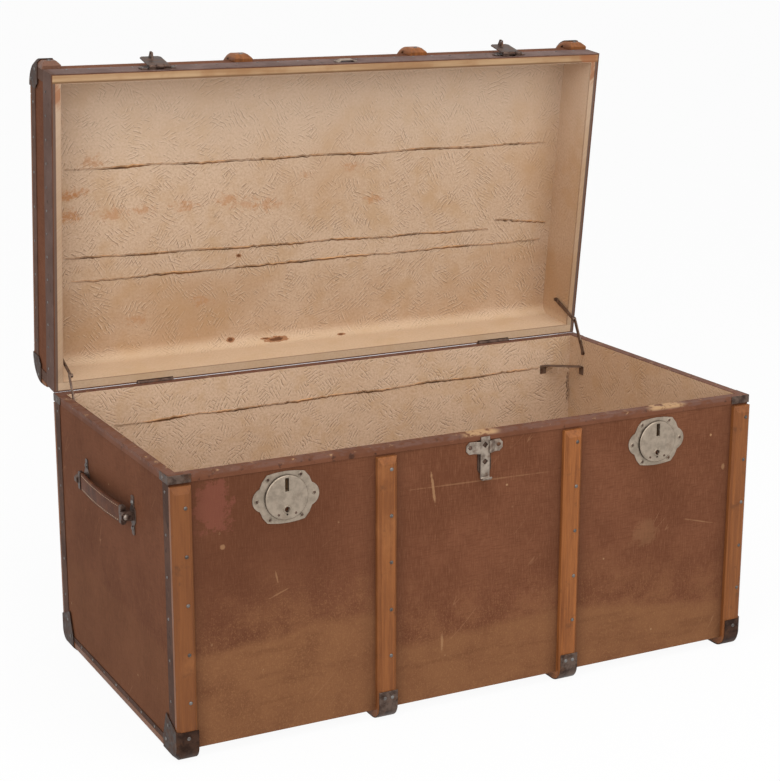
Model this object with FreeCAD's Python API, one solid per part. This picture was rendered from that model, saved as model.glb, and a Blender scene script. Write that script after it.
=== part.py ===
import FreeCAD, Part
import math
import os

# Travelling trunk: a board box covered in canvas, with a round-shouldered lid that stands open.
# Millimetres. X runs along the trunk, the front faces -Y, Z is up, and Z = 0 is the floor under the feet.
# Everything on the lid is drawn with the lid shut and then turned about the hinge pins to its open stop.
# It is drawn round the middle of the base and saved round the middle of the whole open trunk.

os.makedirs("parts", exist_ok=True)
Vector = FreeCAD.Vector
along_x = Vector(1, 0, 0)
along_y = Vector(0, 1, 0)

# Box of boards
trunk_length = 946.0
trunk_depth = 488.0
base_height = 393.0
lid_height = 95.0
board = 12.0
floor_board = 10.0
shoulder_radius = 32.0
canvas = 1.0
lining = 0.8
frame_back = 50.0

# Bindings round the edges
binding = 1.5
rim_cover = 1.0
base_rim_width = 11.0
lid_rim_width = 38.0
end_side_width = 22.0
end_foot_width = 8.0
lid_edge_width = 17.0
lid_gap = 0.5

# Slats, runners and the caps on them
slat_width = 30.0
slat_thick = 11.0
slat_edge = 5.0
hoop_round = 22.0
slat_drop = 14.0
slat_bevel = 5.0
runner_thick = 14.0
cap_sheet = 1.5
foot_cap_height = 46.0
foot_cap_reach = 50.0
corner_cap_height = 62.0
corner_cap_notch = 47.0
corner_cap_reach = 56.0
rim_bracket_reach = 32.0
rim_bracket_sheet = 1.2
lid_slat_gap = 3.0
lid_slat_tail = 14.0
shoulder_cap_sheet = 1.4
shoulder_cap_hub = 8.0
shoulder_cap_wrap = 24.0

# Lid hinges
lid_open_angle = 83.5
hinge_inset = 163.0
hinge_width = 60.0
hinge_leaf = 40.0
hinge_sheet = 1.5
hinge_knuckle = 4.5
hinge_pin = 2.2
hinge_knuckles = 3
knuckle_gap = 0.3
pin_clearance = 0.1
sheet_clearance = 0.3

# Lid stays: hinge pin, base rivet, elbow and lid rivet stay at the corners of a rhombus
stay_link = 63.0
stay_base_angle = 22.5
stay_lid_angle = 117.9
stay_width = 6.5
stay_sheet = 2.0
stay_gap = 0.4
rivet = 1.8
rivet_head = 3.2
rivet_head_thick = 1.5
rivet_clearance = 0.15

# Locks and hasps
lock_inset = 167.0
lock_drop = 52.0
lock_half_width = 50.0
lock_half_height = 37.0
lock_sheet = 1.2
lock_crown = 28.0
lock_crown_rise = 34.0
lock_body = 35.0
lock_body_rise = 25.5
lock_lobe = 39.0
lock_lobe_rise = 16.3
lock_disc = 32.0
lock_disc_thick = 4.0
lock_disc_edge = 1.2
lock_slot_width = 6.0
lock_slot_length = 19.0
keyhole_radius = 3.6
keyhole_drop = 16.5
keyhole_width = 2.4
keyhole_length = 8.6
bolt_length = 12.0
bolt_height = 4.6
bolt_thick = 1.6
bolt_travel = 10.0
bolt_start = 4.5
bolt_clearance = 0.2
pocket_depth = 9.0
hasp_width = 34.0
hasp_plate_width = 57.0
hasp_plate_height = 13.0
hasp_sheet = 1.8
hasp_length = 45.0
hasp_corner = 4.0
hasp_axis_rise = 3.5
hasp_knuckle = 3.0
hasp_pin = 1.5
hasp_fold = 172.0
staple_reach = 38.5
staple_width = 14.0
staple_height = 9.0
staple_sheet = 3.0
staple_clearance = 0.4

# Centre catch
catch_bolt_width = 15.0
catch_bolt_thick = 2.0
catch_bolt_length = 64.0
catch_bolt_drop = 6.0
catch_bolt_curl = 5.0
catch_x = 6.0
catch_plate_width = 22.0
catch_plate_height = 52.0
catch_sheet = 1.4
guide_half_width = 30.0
guide_ear = 13.5
guide_height = 18.0
guide_drop = 12.5
guide_lip = 1.5
guide_corner = 5.0
keeper_half_width = 19.0
keeper_ear = 5.5
keeper_height = 11.0
keeper_rise = 5.0
keeper_corner = 2.0
bridge_slack = 1.6
bridge_bend = 0.6
catch_hole = 5.0
catch_hole_high = 12.0
catch_hole_low = 37.0

# Leather handles on the ends
handle_drop = 95.5
handle_half_span = 100.0
handle_axis_off = 13.0
handle_bow = 6.0
strap_width = 27.0
strap_thick = 6.0
ferrule_wall = 1.0
ferrule_length = 8.6
mount_width = 22.0
mount_height = 58.0
mount_tip = 11.0
mount_corner = 2.0
mount_middle = 8.0
mount_shoulder = 6.0
mount_sheet = 1.5
eye_radius = 6.5
eye_length = 10.0
eye_corner = 3.5
handle_pin = 2.5

# Bent bracket in the back right corner inside
bracket_width = 12.0
bracket_sheet = 1.5
bracket_drop = 47.5
bracket_tab = 15.0
bracket_along_back = 56.0
bracket_along_end = 38.0

# Levels and faces worked out from the sizes above
half_length = trunk_length / 2
half_depth = trunk_depth / 2
floor_z = cap_sheet + runner_thick + canvas
rim_z = floor_z + base_height
lid_rim_z = rim_z + rim_cover + lid_gap
lid_top_z = lid_rim_z + lid_height
front_y = -half_depth - canvas
end_x = half_length + canvas
inner_x = half_length - board - lining
inner_y = half_depth - board - lining
slat_out_y = half_depth + canvas + slat_thick
slat_out_x = end_x + binding
corner_slat_x = slat_out_x - slat_width / 2
middle_slat_x = corner_slat_x / 3
slat_places = (-corner_slat_x, -middle_slat_x, middle_slat_x, corner_slat_x)
hinge_point = Vector(0, half_depth + canvas + binding, rim_z + rim_cover + lid_gap / 2)
hinge_x = half_length - hinge_inset
hinge_places = (-hinge_x, hinge_x)
lock_x = half_length - lock_inset
lock_z = rim_z - lock_drop
flap_inside = front_y - lock_sheet - lock_disc_thick - sheet_clearance
hasp_axis_y = flap_inside - hasp_sheet / 2
hasp_axis_z = lid_rim_z + hasp_axis_rise
slot_z = hasp_axis_z - staple_reach
handle_height = rim_z - handle_drop
bracket_height = rim_z - bracket_drop


def box(x_range, y_range, z_range):
    size = [pair[1] - pair[0] for pair in (x_range, y_range, z_range)]
    return Part.makeBox(size[0], size[1], size[2], Vector(x_range[0], y_range[0], z_range[0]))


def rod(radius, start, direction, length):
    return Part.makeCylinder(radius, length, start, direction)


def fuse(first, *others):
    return first.multiFuse(list(others)).removeSplitter()


def mirror_x(shape):
    return shape.mirror(Vector(0, 0, 0), along_x)


def mirror_y(shape):
    return shape.mirror(Vector(0, 0, 0), along_y)


def line(start, end):
    return Part.LineSegment(start, end).toShape()


def arc(start, middle, end):
    return Part.Arc(start, middle, end).toShape()


def plate(edges, depth):
    return Part.Face(Part.Wire(edges)).extrude(depth)


def polygon(points, depth):
    return Part.Face(Part.makePolygon(points + [points[0]])).extrude(depth)


def open_lid(shape):
    turned = shape.copy()
    turned.rotate(hinge_point, along_x, -lid_open_angle)
    return turned


def save(name, *solids):
    shape = solids[0] if len(solids) == 1 else Part.makeCompound(list(solids))
    placed = shape.copy()
    placed.translate(Vector(0, -frame_back, 0))
    placed.exportStep("parts/%s.step" % name)


def four_corners(shape):
    return [shape, mirror_x(shape), mirror_y(shape), mirror_x(mirror_y(shape))]


def save_on_lid(name, *solids):
    save(name, *[open_lid(solid) for solid in solids])


# Lock pockets, cut through the canvas and into the front board
def lock_pocket(x):
    reach = bolt_start + bolt_length + bolt_clearance
    low = slot_z - lock_slot_length / 2 - bolt_clearance
    high = slot_z + lock_slot_length / 2 + bolt_clearance
    left = bolt_start - bolt_travel - bolt_clearance
    return box((x + left, x + reach), (front_y, front_y + canvas + pocket_depth), (low, high))


pockets = [lock_pocket(-lock_x), lock_pocket(lock_x)]


# Round recesses for the hinge knuckles, cut across the meeting edges at the back
def knuckle_recess(x):
    half = hinge_width / 2 + sheet_clearance
    start = Vector(x - half, hinge_point.y, hinge_point.z)
    return rod(hinge_knuckle + sheet_clearance, start, along_x, 2 * half)


recesses = [knuckle_recess(x) for x in hinge_places]

# Boards of the base: front and back run full length, the ends and the bottom fit between them
board_levels = (floor_z, rim_z)
front_board = box((-half_length, half_length), (-half_depth, -half_depth + board), board_levels)
back_board = box((-half_length, half_length), (half_depth - board, half_depth), board_levels)
between = (-half_depth + board, half_depth - board)
right_board = box((half_length - board, half_length), between, board_levels)
bottom_x = (-half_length + board, half_length - board)
bottom_board = box(bottom_x, between, (floor_z, floor_z + floor_board))
save("base_front_board", front_board.cut(pockets))
save("base_back_board", back_board.cut(recesses))
save("base_right_board", right_board)
save("base_left_board", mirror_x(right_board))
save("base_bottom_board", bottom_board)

# Canvas glued round the outside and under the bottom, paper lining pasted inside
canvas_block = box((-end_x, end_x), (front_y, -front_y), (floor_z - canvas, rim_z))
board_block = box((-half_length, half_length), (-half_depth, half_depth), (floor_z, rim_z))
save("base_canvas", canvas_block.cut([board_block] + pockets + recesses))
lining_block = box(bottom_x, between, (floor_z + floor_board, rim_z))
inside_floor = floor_z + floor_board + lining
inside_block = box((-inner_x, inner_x), (-inner_y, inner_y), (inside_floor, rim_z))
save("base_lining", lining_block.cut(inside_block))


# Clearance for the hinge leaves in the bindings at the back
def hinge_notch(x, z_range):
    half = hinge_width / 2 + sheet_clearance
    return box((x - half, x + half), (half_depth + canvas / 2, half_depth + canvas + 2 * binding), z_range)


# Rim bindings: an angle strip on the base, a flat band on the lid
rim_low = rim_z - base_rim_width
rim_levels = (rim_low, rim_z + rim_cover)
rim_block = box((-slat_out_x, slat_out_x), (front_y - binding, binding - front_y), rim_levels)
rim_core = box((-end_x, end_x), (front_y, -front_y), (rim_low, rim_z))
rim_mouth = box(bottom_x, between, rim_levels)
base_notches = [hinge_notch(x, rim_levels) for x in hinge_places]
save("base_rim_binding", rim_block.cut([rim_core, rim_mouth] + base_notches + recesses))

lid_band = (lid_rim_z, lid_rim_z + lid_rim_width)
band_block = box((-slat_out_x, slat_out_x), (front_y - binding, binding - front_y), lid_band)
band_core = box((-end_x, end_x), (front_y, -front_y), lid_band)
lid_notches = [hinge_notch(x, lid_band) for x in hinge_places]
save_on_lid("lid_rim_binding", band_block.cut([band_core] + lid_notches + recesses))

# Brackets folded round the corners of the base rim
bracket_skin = rim_bracket_sheet
bracket_block = box((-slat_out_x - bracket_skin, slat_out_x + bracket_skin),
                    (front_y - binding - bracket_skin, binding + bracket_skin - front_y), rim_levels)
bracket_ring = bracket_block.cut(rim_block)
bracket_corner = box((slat_out_x - rim_bracket_reach, slat_out_x + bracket_skin),
                     (front_y - binding - bracket_skin, front_y - binding + rim_bracket_reach), rim_levels)
rim_bracket = bracket_ring.common(bracket_corner)
save("rim_brackets", *four_corners(rim_bracket))

# End bindings of the base: a U of flat strip on each end
end_levels = (floor_z - canvas, rim_low)
end_strip = box((end_x, slat_out_x), (front_y, -front_y), end_levels)
end_window = box((end_x, slat_out_x), (front_y + end_side_width, -front_y - end_side_width),
                 (end_levels[0] + end_foot_width, rim_low))
end_binding = end_strip.cut(end_window)
save("base_end_bindings", mirror_x(end_binding), end_binding)


# Outline block of the slats and runners, rounded along the bottom and bevelled round the ends
def foot_block(offset):
    block = box((-slat_out_x - offset, slat_out_x + offset), (-slat_out_y - offset, slat_out_y + offset),
                (cap_sheet - offset, rim_z))
    low_edges = []
    for edge in block.Edges:
        lengthwise = abs(edge.tangentAt(edge.FirstParameter).x) > 0.5
        if lengthwise and edge.CenterOfMass.z < floor_z:
            low_edges.append(edge)
    block = block.makeFillet(hoop_round + offset, low_edges)
    end_edges = []
    for edge in block.Edges:
        on_end = abs(abs(edge.CenterOfMass.x) - slat_out_x - offset) < 0.01
        if on_end and edge.CenterOfMass.z < rim_z - 0.01:
            end_edges.append(edge)
    return block.makeChamfer(slat_edge + offset * (2 - math.sqrt(2)), end_edges)


slat_block = foot_block(0.0)
cap_shell = foot_block(cap_sheet).cut(slat_block)


# One wall slat: its two front edges and its top end are bevelled
def front_slat(x):
    top = rim_z - slat_drop
    blank = box((x - slat_width / 2, x + slat_width / 2), (-slat_out_y, front_y), (cap_sheet, top))
    long_edges = []
    for edge in blank.Edges:
        middle = edge.CenterOfMass
        if middle.y < -slat_out_y + 0.01 and abs(edge.tangentAt(edge.FirstParameter).z) > 0.5:
            long_edges.append(edge)
    slat = blank.makeChamfer(slat_edge, long_edges)
    bevel = polygon([Vector(x - slat_width, -slat_out_y, top),
                     Vector(x - slat_width, -slat_out_y, top - 2 * slat_bevel),
                     Vector(x - slat_width, -slat_out_y + slat_bevel, top)], Vector(2 * slat_width, 0, 0))
    return slat.cut(bevel).common(slat_block)


def runner(x):
    across = (x - slat_width / 2, x + slat_width / 2)
    blank = box(across, (front_y, -front_y), (cap_sheet, cap_sheet + runner_thick))
    return blank.common(slat_block)


front_slats = [front_slat(x) for x in slat_places]
save("front_slats", *front_slats)
save("back_slats", *[mirror_y(slat) for slat in front_slats])
save("bottom_runners", *[runner(x) for x in slat_places])

# Foot caps bent round the bottom of the middle slats
foot_zone = box((middle_slat_x - slat_width / 2, middle_slat_x + slat_width / 2),
                (-slat_out_y - cap_sheet, -slat_out_y + foot_cap_reach), (0.0, foot_cap_height))
foot_cap = cap_shell.common(foot_zone)
save("foot_caps", *four_corners(foot_cap))


# Corner caps: a rounded tongue up the slat, a pointed leaf on the end, a notch between them
def corner_cap():
    inner = slat_out_x - slat_width
    outer = slat_out_x + cap_sheet
    near = -slat_out_y - cap_sheet
    far = -slat_out_y + corner_cap_reach
    zone = box((inner, outer), (near, far), (0.0, corner_cap_height))
    cap = cap_shell.common(zone)
    tongue_top = corner_cap_notch + cap_sheet
    above_tongue = box((inner, outer), (near, -slat_out_y + slat_edge), (tongue_top, corner_cap_height))
    leaf_tip = far - corner_cap_reach / 4
    leaf = polygon([Vector(inner, near, 0), Vector(inner, near, corner_cap_notch),
                    Vector(inner, -slat_out_y + slat_edge, corner_cap_notch),
                    Vector(inner, leaf_tip, corner_cap_height), Vector(inner, far, corner_cap_notch / 2),
                    Vector(inner, far, 0)], Vector(outer - inner, 0, 0))
    return cap.cut(above_tongue).common(leaf)


bottom_cap = corner_cap()
save("corner_caps", *four_corners(bottom_cap))


# Lid outline in the YZ plane, offset outwards from the boards
def lid_block(offset, half):
    radius = shoulder_radius + offset
    side = half_depth + offset
    top = lid_top_z + offset
    bend_y = side - radius
    bend_z = top - radius
    lean = radius * math.sqrt(0.5)
    corners = [Vector(-half, -side, lid_rim_z), Vector(-half, -side, bend_z),
               Vector(-half, -bend_y, top), Vector(-half, bend_y, top),
               Vector(-half, side, bend_z), Vector(-half, side, lid_rim_z)]
    edges = [line(corners[0], corners[1]),
             arc(corners[1], Vector(-half, -bend_y - lean, bend_z + lean), corners[2]),
             line(corners[2], corners[3]),
             arc(corners[3], Vector(-half, bend_y + lean, bend_z + lean), corners[4]),
             line(corners[4], corners[5]),
             line(corners[5], corners[0])]
    return plate(edges, Vector(2 * half, 0, 0))


bend_y = half_depth - shoulder_radius
bend_z = lid_top_z - shoulder_radius
lid_outer = lid_block(0.0, half_length)
lid_inner = lid_block(-board, half_length)
lid_shell = lid_outer.cut(lid_inner)
whole_x = (-half_length, half_length)

# Boards of the lid: walls, two bent shoulders and a flat top, with the end boards fitted inside
lid_front = lid_shell.common(box(whole_x, (-half_depth, -bend_y), (lid_rim_z, bend_z)))
lid_shoulder = lid_shell.common(box(whole_x, (-half_depth, -bend_y), (bend_z, lid_top_z)))
lid_top = lid_shell.common(box(whole_x, (-bend_y, bend_y), (bend_z, lid_top_z)))
end_zone = box((half_length - board, half_length), (-half_depth, half_depth), (lid_rim_z, lid_top_z))
lid_end = lid_inner.common(end_zone)
save_on_lid("lid_front_board", lid_front)
save_on_lid("lid_back_board", mirror_y(lid_front).cut(recesses))
save_on_lid("lid_front_shoulder", lid_shoulder)
save_on_lid("lid_back_shoulder", mirror_y(lid_shoulder))
save_on_lid("lid_top_board", lid_top)
save_on_lid("lid_right_board", lid_end)
save_on_lid("lid_left_board", mirror_x(lid_end))

# Canvas over the lid and paper inside it
save_on_lid("lid_canvas", lid_block(canvas, end_x).cut([lid_outer] + recesses))
lid_paper = lid_block(-board, half_length - board).cut(lid_block(-board - lining, inner_x))
save_on_lid("lid_lining", lid_paper)

# Edge bindings on the lid ends, following the rounded outline above the rim band
edge_band = lid_block(canvas, slat_out_x).cut(lid_block(canvas - lid_edge_width, slat_out_x))
edge_zone = box((end_x, slat_out_x), (front_y, -front_y), (lid_band[1], lid_top_z + canvas))
lid_edge = edge_band.common(edge_zone)
save_on_lid("lid_end_bindings", mirror_x(lid_edge), lid_edge)


# Section of a lid slat lying on the front wall of the lid at one height
def slat_section(x, z):
    left = x - slat_width / 2
    right = x + slat_width / 2
    near = -slat_out_y
    points = [Vector(left, front_y, z), Vector(left, near + slat_edge, z),
              Vector(left + slat_edge, near, z), Vector(right - slat_edge, near, z),
              Vector(right, near + slat_edge, z), Vector(right, front_y, z)]
    return Part.Face(Part.makePolygon(points + [points[0]]))


# A lid slat starts above the rim band, bends over the shoulder and runs across the top
lid_slat_start = lid_band[1] + lid_slat_gap


def lid_slat_bend(x):
    upright = slat_section(x, lid_slat_start).extrude(Vector(0, 0, bend_z - lid_slat_start))
    bend = slat_section(x, bend_z).revolve(Vector(0, -bend_y, bend_z), along_x, -90)
    flat_section = slat_section(x, bend_z)
    flat_section.rotate(Vector(0, -bend_y, bend_z), along_x, -90)
    tail = flat_section.extrude(Vector(0, lid_slat_tail, 0))
    bevel = polygon([Vector(x - slat_width, -slat_out_y, lid_slat_start),
                     Vector(x - slat_width, -slat_out_y, lid_slat_start + 2 * slat_bevel),
                     Vector(x - slat_width, -slat_out_y + slat_bevel, lid_slat_start)],
                    Vector(2 * slat_width, 0, 0))
    return fuse(upright.cut(bevel), bend, tail)


def lid_slat_top(x):
    section = slat_section(x, bend_z)
    section.rotate(Vector(0, -bend_y, bend_z), along_x, -90)
    section.translate(Vector(0, lid_slat_tail, 0))
    return section.extrude(Vector(0, 2 * (bend_y - lid_slat_tail), 0))


lid_bends = [lid_slat_bend(x) for x in slat_places]
save_on_lid("lid_front_slats", *lid_bends)
save_on_lid("lid_back_slats", *[mirror_y(bend) for bend in lid_bends])
save_on_lid("lid_top_slats", *[lid_slat_top(x) for x in slat_places])


# Shoulder caps: a quarter disc on the end with a lip bent over the bevelled edge of the corner slat
def shoulder_cap():
    slat_radius = shoulder_radius + canvas + slat_thick
    outer = slat_radius + shoulder_cap_sheet
    face_x = slat_out_x + shoulder_cap_sheet
    lip_x = slat_out_x - shoulder_cap_wrap
    bevel = slat_edge + shoulder_cap_sheet * (2 - math.sqrt(2))
    profile = [(slat_out_x, shoulder_cap_hub), (face_x, shoulder_cap_hub), (face_x, outer - bevel),
               (face_x - bevel, outer), (lip_x, outer), (lip_x, slat_radius),
               (slat_out_x - slat_edge, slat_radius), (slat_out_x, slat_radius - slat_edge)]
    points = [Vector(across, -bend_y - reach, bend_z) for across, reach in profile]
    section = Part.Face(Part.makePolygon(points + [points[0]]))
    return section.revolve(Vector(0, -bend_y, bend_z), along_x, -90)


lid_cap = shoulder_cap()
save_on_lid("lid_shoulder_caps", *four_corners(lid_cap))


# Butt hinges: leaves on the back of base and lid, the pin riveted fast in the base knuckles
def hinge_leaf_solid(x, upward):
    step = hinge_width / hinge_knuckles
    leaf_y = (half_depth + canvas, half_depth + canvas + hinge_sheet)
    sign = 1 if upward else -1
    near = hinge_knuckle + knuckle_gap
    levels = sorted((hinge_point.z + sign * near, hinge_point.z + sign * hinge_leaf))
    leaf = box((x - hinge_width / 2, x + hinge_width / 2), leaf_y, levels)
    knuckles = []
    for index in range(1 if upward else 0, hinge_knuckles, 2):
        low = x - hinge_width / 2 + index * step + knuckle_gap / 2
        length = step - knuckle_gap
        knuckles.append(rod(hinge_knuckle, Vector(low, hinge_point.y, hinge_point.z), along_x, length))
        web = sorted((hinge_point.z, hinge_point.z + sign * near))
        knuckles.append(box((low, low + length), leaf_y, web))
    pin_start = Vector(x - hinge_width / 2 + knuckle_gap / 2, hinge_point.y, hinge_point.z)
    pin_length = hinge_width - knuckle_gap
    if upward:
        return fuse(leaf, *knuckles).cut(rod(hinge_pin + pin_clearance, pin_start, along_x, pin_length))
    return fuse(leaf, rod(hinge_pin, pin_start, along_x, pin_length), *knuckles)


save("hinge_leaves_base", *[hinge_leaf_solid(x, False) for x in hinge_places])
save_on_lid("hinge_leaves_lid", *[hinge_leaf_solid(x, True) for x in hinge_places])


# Lid stays on the right end: points of the rhombus seen along X, measured from the hinge pin
def stay_point(angle):
    turn = math.radians(angle)
    return Vector(0, -stay_link * math.cos(turn), stay_link * math.sin(turn))


base_rivet_at = hinge_point + stay_point(-stay_base_angle)
lid_rivet_at = hinge_point + stay_point(stay_lid_angle)
elbow_at = hinge_point + stay_point(-stay_base_angle) + stay_point(stay_lid_angle)
lower_x = inner_x - stay_gap - stay_sheet
upper_x = lower_x - stay_gap - stay_sheet


def at_x(point, x):
    return Vector(x, point.y, point.z)


def stay_link_blank(x, first, second):
    half = stay_width / 2
    bar = box((x, x + stay_sheet), (-half, stay_link + half), (-half, half))
    corners = [edge for edge in bar.Edges if abs(edge.tangentAt(edge.FirstParameter).x) > 0.5]
    bar = bar.makeChamfer(stay_width * (1 - math.sqrt(0.5)), corners)
    direction = second - first
    turn = math.degrees(math.atan2(direction.z, direction.y))
    bar.rotate(Vector(0, 0, 0), along_x, turn)
    bar.translate(Vector(0, first.y, first.z))
    return bar


# A rivet with its head hammered to eight flats
def headed_rivet(point, start, end):
    shank = rod(rivet, at_x(point, end), along_x, start - end)
    turns = [math.radians(45 * step) for step in range(8)]
    rim = [Vector(end, point.y + rivet_head * math.cos(turn), point.z + rivet_head * math.sin(turn))
           for turn in turns]
    return fuse(shank, polygon(rim, Vector(-rivet_head_thick, 0, 0)))


def rivet_hole(point):
    return rod(rivet + rivet_clearance, at_x(point, upper_x - board), along_x, 3 * board)


lower_link = stay_link_blank(lower_x, base_rivet_at, elbow_at).cut(rivet_hole(base_rivet_at))
elbow_rivet = headed_rivet(elbow_at, lower_x + stay_sheet / 2, upper_x - stay_gap / 2)
lower_link = fuse(lower_link, elbow_rivet)
upper_holes = [rivet_hole(lid_rivet_at), rivet_hole(elbow_at)]
upper_link = stay_link_blank(upper_x, lid_rivet_at, elbow_at).cut(upper_holes)
base_rivet = headed_rivet(base_rivet_at, inner_x, lower_x - stay_gap / 2)
lid_rivet = headed_rivet(lid_rivet_at, inner_x, upper_x - stay_gap / 2)
save("stay_lower_right", lower_link)
save("stay_lower_left", mirror_x(lower_link))
save("stay_upper_right", upper_link)
save("stay_upper_left", mirror_x(upper_link))
save("stay_base_rivets", mirror_x(base_rivet), base_rivet)
save("stay_lid_rivets", mirror_x(lid_rivet), lid_rivet)


# Lock plate outline: crowned top and bottom, cut corners and a round lobe on each side
def lock_plate(x):
    steps = [(lock_crown, lock_crown_rise), (lock_body, lock_body_rise), (lock_lobe, lock_lobe_rise)]
    right_up = [Vector(x + across, front_y, lock_z + rise) for across, rise in steps]
    right_low = [Vector(x + across, front_y, lock_z - rise) for across, rise in steps]
    left_up = [Vector(x - across, front_y, lock_z + rise) for across, rise in steps]
    left_low = [Vector(x - across, front_y, lock_z - rise) for across, rise in steps]
    edges = [arc(left_up[0], Vector(x, front_y, lock_z + lock_half_height), right_up[0]),
             line(right_up[0], right_up[1]), line(right_up[1], right_up[2]),
             arc(right_up[2], Vector(x + lock_half_width, front_y, lock_z), right_low[2]),
             line(right_low[2], right_low[1]), line(right_low[1], right_low[0]),
             arc(right_low[0], Vector(x, front_y, lock_z - lock_half_height), left_low[0]),
             line(left_low[0], left_low[1]), line(left_low[1], left_low[2]),
             arc(left_low[2], Vector(x - lock_half_width, front_y, lock_z), left_up[2]),
             line(left_up[2], left_up[1]), line(left_up[1], left_up[0])]
    return plate(edges, Vector(0, -lock_sheet, 0))


# Openings through plate and cover: the slot for the staple and the keyhole
def lock_openings(x):
    through = (front_y - lock_sheet - 2 * lock_disc_thick, front_y + canvas)
    slot = box((x - lock_slot_width / 2, x + lock_slot_width / 2), through,
               (slot_z - lock_slot_length / 2, slot_z + lock_slot_length / 2))
    key_z = lock_z - keyhole_drop
    round_hole = rod(keyhole_radius, Vector(x, through[0], key_z), along_y, through[1] - through[0])
    tail = box((x - keyhole_width / 2, x + keyhole_width / 2), through, (key_z - keyhole_length, key_z))
    return [slot, round_hole, tail]


# Round cover: a pressed disc with a bevelled edge
def lock_cover(x):
    disc = rod(lock_disc, Vector(x, front_y - lock_sheet, lock_z), Vector(0, -1, 0), lock_disc_thick)
    face_y = front_y - lock_sheet - lock_disc_thick
    rim_edges = [edge for edge in disc.Edges if edge.Closed and edge.CenterOfMass.y < face_y + 0.01]
    return disc.makeChamfer(lock_disc_edge, rim_edges)


def lock_bolt(x):
    back_of_plate = front_y + bolt_clearance
    return box((x + bolt_start, x + bolt_start + bolt_length), (back_of_plate, back_of_plate + bolt_thick),
               (slot_z - bolt_height / 2, slot_z + bolt_height / 2))


save("lock_plates", *[lock_plate(x).cut(lock_openings(x)) for x in (-lock_x, lock_x)])
save("lock_covers", *[lock_cover(x).cut(lock_openings(x)) for x in (-lock_x, lock_x)])
save("lock_bolt_left", lock_bolt(-lock_x))
save("lock_bolt_right", lock_bolt(lock_x))


# Hasp plate on the lid rim with the two outer knuckles, held off the rim by a neck, and the pin fast in them
def hasp_plate(x):
    seat = front_y - binding
    low = hasp_axis_z + hasp_knuckle + 2 * knuckle_gap
    leaf = box((x - hasp_plate_width / 2, x + hasp_plate_width / 2), (seat - hasp_sheet, seat),
               (low, low + hasp_plate_height))
    corners = [edge for edge in leaf.Edges if abs(edge.tangentAt(edge.FirstParameter).y) > 0.5]
    solids = []
    neck_back = seat - sheet_clearance
    for start in (x - hasp_width / 2, x + hasp_width / 6 + knuckle_gap):
        length = hasp_width / 3 - knuckle_gap
        across = (start, start + length)
        solids.append(rod(hasp_knuckle, Vector(start, hasp_axis_y, hasp_axis_z), along_x, length))
        solids.append(box(across, (hasp_axis_y, neck_back), (hasp_axis_z - hasp_pin, hasp_axis_z + hasp_pin)))
        solids.append(box(across, (seat - hasp_sheet, neck_back), (hasp_axis_z, low)))
    pin = rod(hasp_pin, Vector(x - hasp_width / 2, hasp_axis_y, hasp_axis_z), along_x, hasp_width)
    return fuse(leaf.makeChamfer(hasp_sheet, corners), pin, *solids)


# Hasp flap drawn shut over the lock, with its middle knuckle and the pierced staple, then folded back
def hasp_flap(x):
    inner = flap_inside
    half = hasp_width / 2
    low = hasp_axis_z - hasp_length
    top = hasp_axis_z - hasp_knuckle - knuckle_gap
    leaf = box((x - half, x + half), (inner - hasp_sheet, inner), (low, top))
    corners = [edge for edge in leaf.Edges
               if abs(edge.tangentAt(edge.FirstParameter).y) > 0.5 and edge.CenterOfMass.z < low + 0.01]
    leaf = leaf.makeChamfer(hasp_corner, corners)
    start = x - hasp_width / 6 + knuckle_gap
    length = hasp_width / 3 - 2 * knuckle_gap
    knuckle = rod(hasp_knuckle, Vector(start, hasp_axis_y, hasp_axis_z), along_x, length)
    web = box((start, start + length), (inner - hasp_sheet, inner), (top, hasp_axis_z))
    bore_start = Vector(x - hasp_width, hasp_axis_y, hasp_axis_z)
    bore = rod(hasp_pin + pin_clearance, bore_start, along_x, 2 * hasp_width)
    left = x - staple_sheet / 2
    root = inner - hasp_sheet / 2
    tip = inner + staple_height
    wide = staple_width / 2
    narrow = staple_width / 4
    staple_outline = [Vector(left, root, slot_z - wide), Vector(left, inner, slot_z - wide),
                      Vector(left, tip, slot_z - narrow), Vector(left, tip, slot_z + narrow),
                      Vector(left, inner, slot_z + wide), Vector(left, root, slot_z + wide)]
    staple = polygon(staple_outline, Vector(staple_sheet, 0, 0))
    eye_near = front_y + bolt_clearance - staple_clearance
    eye_far = front_y + bolt_clearance + bolt_thick + staple_clearance
    eye_half = bolt_height / 2 + staple_clearance
    eye = box((left, left + staple_sheet), (eye_near, eye_far), (slot_z - eye_half, slot_z + eye_half))
    flap = fuse(leaf, knuckle, web).cut(bore)
    flap = fuse(flap, staple.cut(eye))
    flap.rotate(Vector(x, hasp_axis_y, hasp_axis_z), along_x, -hasp_fold)
    return flap


save_on_lid("hasp_plates", hasp_plate(-lock_x), hasp_plate(lock_x))
save_on_lid("hasp_flap_left", hasp_flap(-lock_x))
save_on_lid("hasp_flap_right", hasp_flap(lock_x))


# Bridge of bent strip: nailed ears with cut corners on the seat, raised middle over the catch bolt
def bridge(seat, half_width, ear, raised, low, high, corner):
    foot = half_width - ear
    crest = catch_bolt_width / 2 + bridge_slack
    slope = raised - catch_sheet
    outer = [(-half_width, 0.0), (-half_width, catch_sheet), (-foot - bridge_bend, catch_sheet),
             (-crest - bridge_bend, raised), (crest + bridge_bend, raised), (foot + bridge_bend, catch_sheet),
             (half_width, catch_sheet), (half_width, 0.0)]
    inner = [(foot, 0.0), (crest, slope), (-crest, slope), (-foot, 0.0)]
    points = [Vector(catch_x + across, seat - out, low) for across, out in outer + inner]
    strip = polygon(points, Vector(0, 0, high - low))
    corners = [edge for edge in strip.Edges
               if abs(edge.tangentAt(edge.FirstParameter).y) > 0.9
               and abs(edge.CenterOfMass.x - catch_x) > half_width - 0.01]
    return strip.makeChamfer(corner, corners)


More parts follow.
